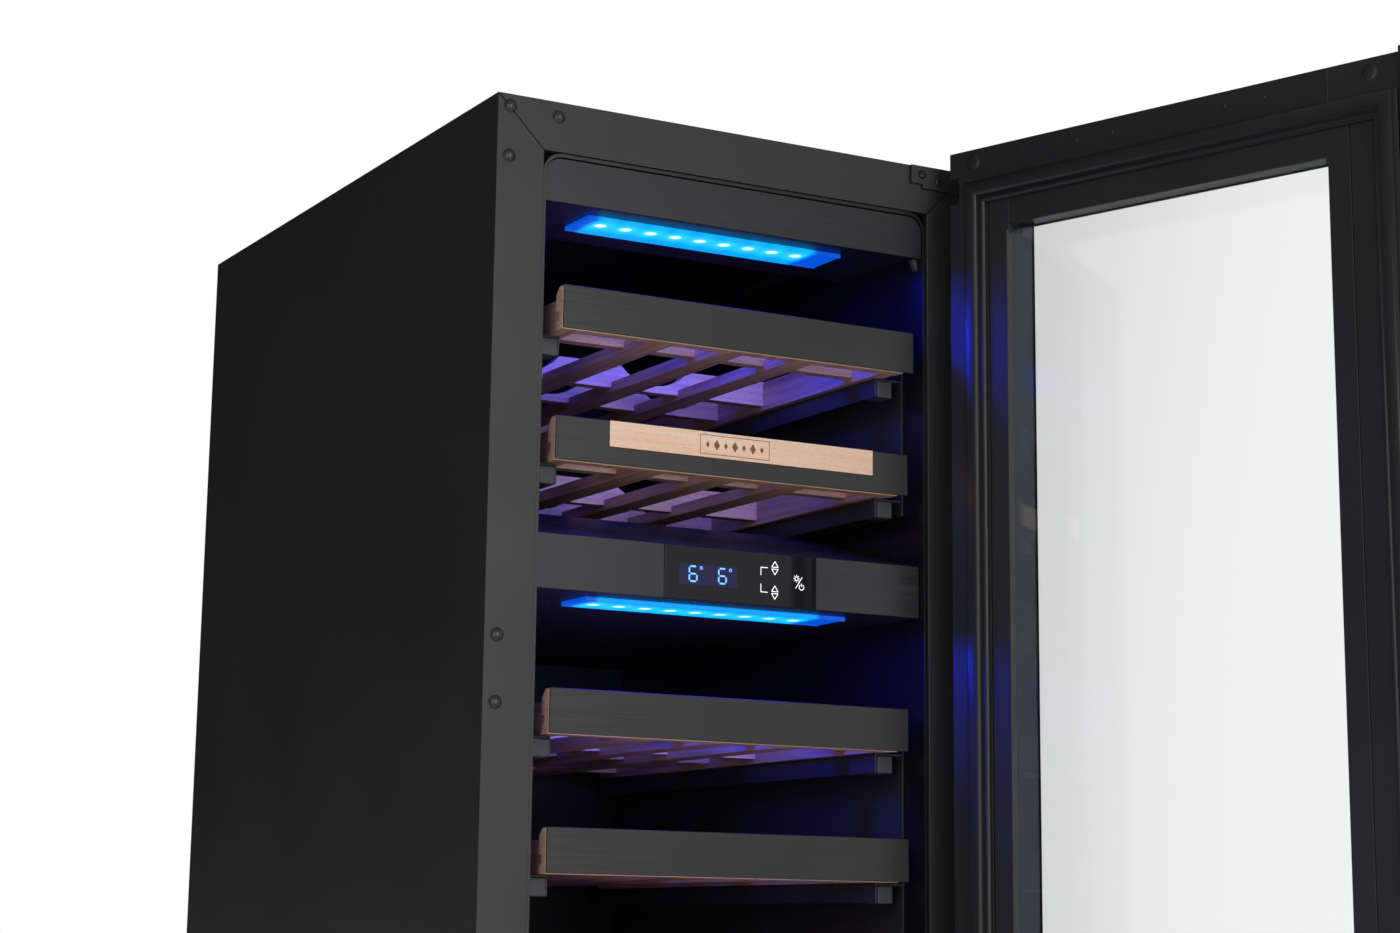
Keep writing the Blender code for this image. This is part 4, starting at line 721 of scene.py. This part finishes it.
def control_display(finish):
    """Two lit figures in a tinted window, arrows for each zone, and the light and power icons."""
    low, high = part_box("control_glass")
    face = low.y - HAIR
    glass_left = low.x
    glass_top = high.z

    def at(x, drop):
        """Point on the glass, in mm from its left edge and down from its top."""
        return (glass_left + x * MM, glass_top - drop * MM)

    film_thick = 0.05 * MM
    window = [at(11.2, 26), at(56.6, 26), at(56.6, 12), at(11.2, 12)]
    film = extruded("display_window", window, "Y", face - film_thick, face, finish["display"])
    fitting(film, "cabinet")
    front = face - MARK_THICK
    blue = finish["blue_segment"]
    figures = []
    for x in (21.9, 44.8):
        figures += figure(at(x, 18.6), 10.2 * MM, 5.8 * MM, "acdefg", front, blue)
        figures += ring_line(at(x + 6.3, 14.2), 0.9 * MM, 0.5 * MM, front, blue)
    fitting(joined("display_figures", figures), "cabinet")
    white = finish["white_icon"]
    line = 0.55 * MM
    icons = []
    for drop in (9.9, 26.8):
        for sign in (1, -1):
            tip = at(86.5, drop - sign * 4.6)
            base = [at(83.9, drop - sign * 0.7), at(89.1, drop - sign * 0.7)]
            icons.append(stroke("icon", base[0], tip, line, face, MARK_THICK, white))
            icons.append(stroke("icon", base[1], tip, line, face, MARK_THICK, white))
            icons.append(stroke("icon", base[0], base[1], line, face, MARK_THICK, white))
    for start, end in (((75.3, 10.0), (80.8, 10.0)), ((75.3, 10.0), (75.3, 15.5)),
                       ((75.3, 21.3), (75.3, 27.0)), ((75.3, 27.0), (80.8, 27.0)),
                       ((103.2, 22.6), (108.6, 14.6))):
        icons.append(stroke("icon", at(*start), at(*end), line, face, MARK_THICK, white))
    icons += ring_line(at(104.0, 15.8), 1.3 * MM, line, face, white)
    for i in range(8):
        angle = math.radians(45 * i)
        points = [at(104.0 + r * math.cos(angle), 15.8 + r * math.sin(angle)) for r in (1.9, 2.6)]
        icons.append(stroke("icon", points[0], points[1], line, face, MARK_THICK, white))
    icons += ring_line(at(108.0, 21.6), 1.9 * MM, line, face, white, 120, 420)
    icons.append(stroke("icon", at(108.0, 18.9), at(108.0, 21.2), line, face, MARK_THICK, white))
    fitting(joined("control_icons", icons), "cabinet")


def rail_ends(finish):
    """Pale nylon end piece in the mouth of each shelf support, under the shelf's front corner."""
    for zone, shelves in (("upper", UPPER_SHELVES), ("lower", LOWER_SHELVES)):
        for word, side in (("left", -1), ("right", 1)):
            low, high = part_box(f"{zone}_{word}_shelf_support")
            tip = low.x if side > 0 else high.x
            for number in shelves:
                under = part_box(f"shelf_{number}_rack")[0].z - 2.0 * MM
                xs = sorted((tip + side * 1.6 * MM, tip + side * 14.0 * MM))
                near = (xs[0], low.y - 1.2 * MM, under - 12.4 * MM)
                far = (xs[1], low.y + 14 * MM, under)
                block = plate(f"shelf_{number}_{word}_rail_end", near, far, finish["clip"], 1.0, 3)
                fitting(block, "cabinet")


def temperature_probe(finish):
    """Clip of the upper zone's thermometer probe, high on the right wall."""
    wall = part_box("liner")[1].x - 2.6 * MM
    z = CABINET_TOP - 67 * MM
    outline = [(wall, z), (wall - 5 * MM, z - 1.5 * MM), (wall - 3 * MM, z - 5 * MM),
               (wall - 1.4 * MM, z - 9 * MM), (wall, z - 9.5 * MM)]
    clip = soften(extruded("probe_clip", outline, "Y", FRONT + 8 * MM, FRONT + 13 * MM, finish["clip"]), 0.5)
    fitting(clip, "cabinet")


# ---- Shelves -------------------------------------------------------------------------------------

def rack_with_grain(node, finish):
    """Rack whose rails and slats run their grain front to back, and whose boards run it across."""
    # The boards' crosswise finish is painted pale, as painted light on their fronts and ends
    item = copy_of(node, node + "_shown", finish["beech_x_painted_light"])
    item.data.materials.append(finish["beech_y"])
    low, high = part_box(node)
    board_back = low.y + 11 * MM
    rail_edge = high.x - 14.5 * MM
    slat_top = low.z + 8.3 * MM
    for face in item.data.polygons:
        centre = face.center
        behind = centre.y > board_back
        rail = abs(centre.x) > rail_edge
        slat = centre.z < slat_top and max(abs(face.normal.x), abs(face.normal.z)) > 0.9
        if behind and (rail or slat):
            face.material_index = 1
    soften(item, 0.7)
    stand_for(item, node)


def engraved_mark(low, high, finish):
    """Plain burnt border round a row of lozenges, in the middle of the beech strip."""
    face = low.y - HAIR
    middle = Vector(((low.x + high.x) / 2 - 8 * MM, (low.z + high.z) / 2))
    wide = 27.5 * MM
    tall = 6.6 * MM
    line = 0.45 * MM
    burn = 0.05 * MM
    spacing = 7.2 * MM
    corners = [middle + Vector((sx * wide, sz * tall)) for sx, sz in ((-1, -1), (1, -1), (1, 1), (-1, 1))]
    lines = []
    for i in range(4):
        lines.append(stroke("line", corners[i - 1], corners[i], line, face, burn, finish["scorched"]))
    for k in range(-3, 4):
        spot = middle + Vector((k * spacing, 0))
        size = (3.8 if k % 2 == 0 else 2.4) * MM
        points = [spot + Vector((0, -size)), spot + Vector((size * 0.62, 0)), spot + Vector((0, size)),
                  spot + Vector((-size * 0.62, 0))]
        outline = [tuple(point) for point in points]
        lines.append(extruded("lozenge", outline, "Y", face - burn, face, finish["scorched"]))
    fitting(joined("shelf_2_burnt_mark", lines), "shelf_2")


def shelves(finish):
    """Racks with their grain, and the strips across their fronts."""
    for number in UPPER_SHELVES + LOWER_SHELVES:
        rack_with_grain(f"shelf_{number}_rack", finish)
        dressed(f"shelf_{number}_front_trim", finish["strip"], 0.45)
    dressed("shelf_2_inlay", finish["beech_face"], 0.2)
    engraved_mark(*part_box("shelf_2_inlay"), finish)


# ---- Door ----------------------------------------------------------------------------------------

def door_skins(finish):
    """Frame, trim, panes and spacer; the spacer's holes are laid out on the shut door."""
    # The frame's ABS is painted lighter, as painted light reflected in it
    dressed("door_frame", finish["abs"], 1.0, 3)
    dressed("door_inner_trim", finish["abs"], 0.8, 3)
    for node in ("door_inner_pane", "door_outer_glass"):
        dressed(node, finish["glass"], 0.4)
    spacer = copy_of("door_spacer", "door_spacer_shown", finish["spacer"])
    shut = DOOR_OPEN.inverted()
    layer = spacer.data.uv_layers.new(name="shut")
    for loop in spacer.data.loops:
        point = shut @ spacer.data.vertices[loop.vertex_index].co
        layer.data[loop.index].uv = (point.x, point.z)
    stand_for(spacer, "door_spacer")


def bellows_gasket(finish):
    """Magnetic gasket: root, thin bellows and a rounded magnet pocket, mitred at the corners."""
    low, high = closed_box("door_gasket")
    deep = high.y - low.y
    section = [(1.0, 0.0), (17.6, 0.0), (18.0, 0.12), (17.7, 0.30), (16.8, 0.46), (15.4, 0.52), (14.2, 0.46),
               (13.4, 0.36), (12.8, 0.50), (12.7, 0.72), (11.9, 0.90), (10.6, 0.98), (9.0, 1.0), (5.0, 0.98),
               (3.4, 0.92), (2.3, 0.78), (1.9, 0.60), (2.2, 0.44), (1.4, 0.36), (0.5, 0.30), (0.0, 0.16)]
    profile = [(inset * MM, low.y + share * deep) for inset, share in section]
    gasket = mitred_ring("door_gasket_shown", profile, (low.x, low.z, high.x, high.z), finish["pvc"])
    gasket.data.set_sharp_from_angle(angle=math.radians(60))
    gasket.data.transform(DOOR_OPEN)
    stand_for(gasket, "door_gasket")


def glass_border(finish):
    """Black ceramic border fired on the back of the outer pane, hiding the frame and the spacer."""
    low, high = closed_box("door_outer_glass")
    spacer_low, spacer_high = closed_box("door_spacer")
    spacer_width = 8 * MM
    near = high.y + 0.05 * MM
    far = high.y + 0.20 * MM
    edge = 1 * MM
    bm = bmesh.new()
    loops = []
    boxes = ((low.x + edge, low.z + edge, high.x - edge, high.z - edge),
             (spacer_low.x + spacer_width, spacer_low.z + spacer_width,
              spacer_high.x - spacer_width, spacer_high.z - spacer_width))
    for left, bottom, right, top in boxes:
        for y in (near, far):
            corners = [(left, y, bottom), (right, y, bottom), (right, y, top), (left, y, top)]
            loops.append([bm.verts.new(corner) for corner in corners])
    outer_near, outer_far, inner_near, inner_far = loops
    for one, other in ((outer_near, outer_far), (inner_near, inner_far),
                       (outer_near, inner_near), (outer_far, inner_far)):
        for i in range(4):
            bm.faces.new((one[i - 1], one[i], other[i], other[i - 1]))
    bmesh.ops.recalc_face_normals(bm, faces=bm.faces)
    on_door(as_object("glass_border", bm, finish["frit"]))


def door_details(finish):
    """Cover strip and screw covers on the back of the frame, and corner keys in the inner trim."""
    low, high = closed_box("door_frame")
    face = high.y
    free = low.x
    hinge = high.x
    top = high.z
    strip = plate("top_cover_strip", (hinge - 307 * MM, face - 0.1 * MM, top - 23 * MM),
                  (hinge - 61 * MM, face + 0.35 * MM, top - 1.2 * MM), finish["gloss_abs_painted_highlight"], 0.2)
    on_door(strip)
    for number, along in enumerate((110, 140, 230, 260), start=1):
        dot = turned(f"cover_strip_dot_{number}", [(0, 0.5), (1.0, 0.45), (1.5, 0.2), (1.6, 0), (0, 0)],
                     finish["abs"], 20)
        put(dot, Vector((hinge - along * MM, face + 0.36 * MM, top - 10 * MM)), FACING_BACK)
        on_door(dot)
    for word, x in (("hinge", hinge - 20.7 * MM), ("free", free + 20.7 * MM)):
        cap = turned(f"{word}_corner_cap", [(0, 0.9), (3.0, 0.8), (5.0, 0.45), (5.6, 0), (0, 0)],
                     finish["abs"], 32)
        put(cap, Vector((x, face + HAIR, top - 9.4 * MM)), FACING_BACK)
        on_door(cap)
    trim_low, trim_high = closed_box("door_inner_trim")
    key = Vector((17.5 * MM, 0, 24 * MM))
    for word, x in (("hinge", trim_high.x - key.x), ("free", trim_low.x + 0.3 * MM)):
        for level, z in (("top", trim_high.z - key.z), ("bottom", trim_low.z + 0.3 * MM)):
            corner = plate(f"{word}_{level}_corner_key", (x, trim_high.y - 0.1 * MM, z),
                           (x + key.x - 0.3 * MM, trim_high.y + 0.25 * MM, z + key.z - 0.3 * MM),
                           finish["abs"], 0.15)
            on_door(corner)


def handle_pieces(finish):
    """The handle as its bar and two end caps, which meet in a fine seam."""
    low, high = closed_box("door_handle")
    cap = 61 * MM
    seam = 0.35 * MM
    beyond = 1.0
    cuts = (low.z + cap, high.z - cap)
    spans = (("door_handle_lower_cap", low.z - beyond, cuts[0] - seam), ("door_handle_bar", *cuts),
             ("door_handle_upper_cap", cuts[1] + seam, high.z + beyond))
    for name, bottom, top in spans:
        bm = bmesh.new()
        bm.from_mesh(frame["nodes"]["door_handle"].data)
        clean(bm)
        for z, outward in ((bottom, -1), (top, 1)):
            parts = list(bm.verts) + list(bm.edges) + list(bm.faces)
            cut = bmesh.ops.bisect_plane(bm, geom=parts, plane_co=(0, 0, z), plane_no=(0, 0, outward),
                                         clear_outer=True)
            rim = [edge for edge in cut["geom_cut"] if isinstance(edge, bmesh.types.BMEdge)]
            if rim:
                bmesh.ops.contextual_create(bm, geom=rim)
        bmesh.ops.recalc_face_normals(bm, faces=bm.faces)
        finish_name = "anodised" if name == "door_handle_bar" else "abs"
        piece = soften(as_object(name, bm, finish[finish_name]), 1.2, 3)
        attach(piece, "door")
        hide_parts("door_handle")


# ---- Setting -------------------------------------------------------------------------------------

def camera():
    """Long lens, low and to the left, looking up at the open front."""
    heading = math.radians(29.2134)
    pitch = math.radians(10.9487)
    roll = math.radians(0.7038)
    ahead = Vector((math.sin(heading) * math.cos(pitch),
                    math.cos(heading) * math.cos(pitch),
                    math.sin(pitch)))
    level = ahead.cross(Vector((0, 0, 1))).normalized()
    above = level.cross(ahead)
    right = math.cos(roll) * level + math.sin(roll) * above
    up = -math.sin(roll) * level + math.cos(roll) * above
    lens = bpy.data.cameras.new("camera")
    lens.sensor_width = 36.0
    lens.lens = 69.39
    lens.shift_x = 0.00385
    lens.shift_y = -0.0340
    lens.clip_end = 50
    item = bpy.data.objects.new("camera", lens)
    turn = Matrix((right, up, -ahead)).transposed().to_4x4()
    item.matrix_world = Matrix.Translation((-0.91826, -1.85403, 0.27741)) @ turn
    bpy.context.scene.collection.objects.link(item)
    bpy.context.scene.camera = item


def soft_light(name, place, target, size, power, colour="#ffffff"):
    """Rectangular studio light aimed at a point."""
    lamp = bpy.data.lights.new(name, "AREA")
    lamp.shape = "RECTANGLE"
    lamp.size = size[0]
    lamp.size_y = size[1]
    lamp.energy = power
    lamp.color = linear(colour)[:3]
    item = bpy.data.objects.new(name, lamp)
    item.location = place
    item.rotation_euler = (Vector(target) - Vector(place)).to_track_quat("-Z", "Y").to_euler()
    item.visible_camera = False
    item.visible_transmission = False
    bpy.context.scene.collection.objects.link(item)


def lamp_glow():
    """Blue light that each lamp bar throws down into its zone."""
    end_margin = 0.010
    side_margin = 0.008
    for zone in ("upper", "lower"):
        low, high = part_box(f"{zone}_led_bar")
        place = Vector((0, (low.y + high.y) / 2, low.z - 2 * MM))
        soft_light(f"{zone}_lamp_glow", place, place - Vector((0, -0.010, 0.1)),
                   (high.x - low.x - end_margin, high.y - low.y - side_margin), 0.85, "#1a1cff")


def studio():
    """White surround, seen as it is but lighting the cooler softly and mostly from the front."""
    world = bpy.data.worlds.new("studio")
    world.use_nodes = True
    bpy.context.scene.world = world
    tree = world.node_tree
    tree.nodes.clear()
    facing = add(tree, "ShaderNodeTexCoord").outputs["Generated"]
    apart = add(tree, "ShaderNodeSeparateXYZ", {"Vector": facing})
    front = add(tree, "ShaderNodeMapRange", {
        "Value": apart.outputs["Y"], "From Min": 0.3, "From Max": -0.95, "To Min": 0.02, "To Max": 0.45})
    seen = add(tree, "ShaderNodeLightPath")
    sweep = add(tree, "ShaderNodeMapRange", {
        "Value": apart.outputs["X"], "From Min": 0.54, "From Max": 0.66, "To Min": 0.66, "To Max": 0.96},
        interpolation_type="SMOOTHSTEP")
    glazed = add(tree, "ShaderNodeMix", {
        "Factor": seen.outputs["Is Transmission Ray"], "A": front.outputs["Result"],
        "B": sweep.outputs["Result"]}, data_type="FLOAT")
    level = add(tree, "ShaderNodeMix", {
        "Factor": seen.outputs["Is Camera Ray"], "A": number_of(glazed), "B": 1.0}, data_type="FLOAT")
    white = add(tree, "ShaderNodeBackground", {
        "Color": linear("#ffffff"), "Strength": number_of(level)})
    out = add(tree, "ShaderNodeOutputWorld")
    tree.links.new(white.outputs["Background"], out.inputs["Surface"])
    bpy.context.scene.view_settings.view_transform = "Standard"


def floor(finish):
    """Pale matt floor under the feet, not part of the cooler."""
    ground = CAD_BOX[0].z
    bm = bmesh.new()
    bmesh.ops.create_grid(bm, x_segments=4, y_segments=4, size=4.0)
    bmesh.ops.translate(bm, verts=bm.verts, vec=(0, 0, ground))
    item = as_object("floor", bm, grained("pale_studio_floor", "#f4f4f3", 0.8, 6.0, 0.05, 0.05, 0.02,
                                         Emission_Color=linear("#ffffff"), Emission_Strength=0.16))


def build():
    """Every piece in turn, then the camera, surround and lights."""
    finish = make_materials()
    cabinet_skins(finish)
    plug_caps(finish)
    hinge_screws(finish)
    casing_screws(finish)
    inside_skins(finish)
    lamp_frames(finish)
    control_display(finish)
    rail_ends(finish)
    temperature_probe(finish)
    shelves(finish)
    door_skins(finish)
    bellows_gasket(finish)
    glass_border(finish)
    door_details(finish)
    handle_pieces(finish)
    camera()
    studio()
    floor(finish)
    soft_light("key", (0.5, -3.2, 0.75), (0, 0, 0.5), (1.4, 2.2), 25)
    soft_light("corner", (-0.72, -0.98, 0.60), (-0.19, -0.10, 0.50), (0.25, 0.9), 2.0)
    soft_light("back", (1.6, 2.2, 1.5), (0, 0, 0.5), (1.6, 1.4), 22)
    lamp_glow()


build()
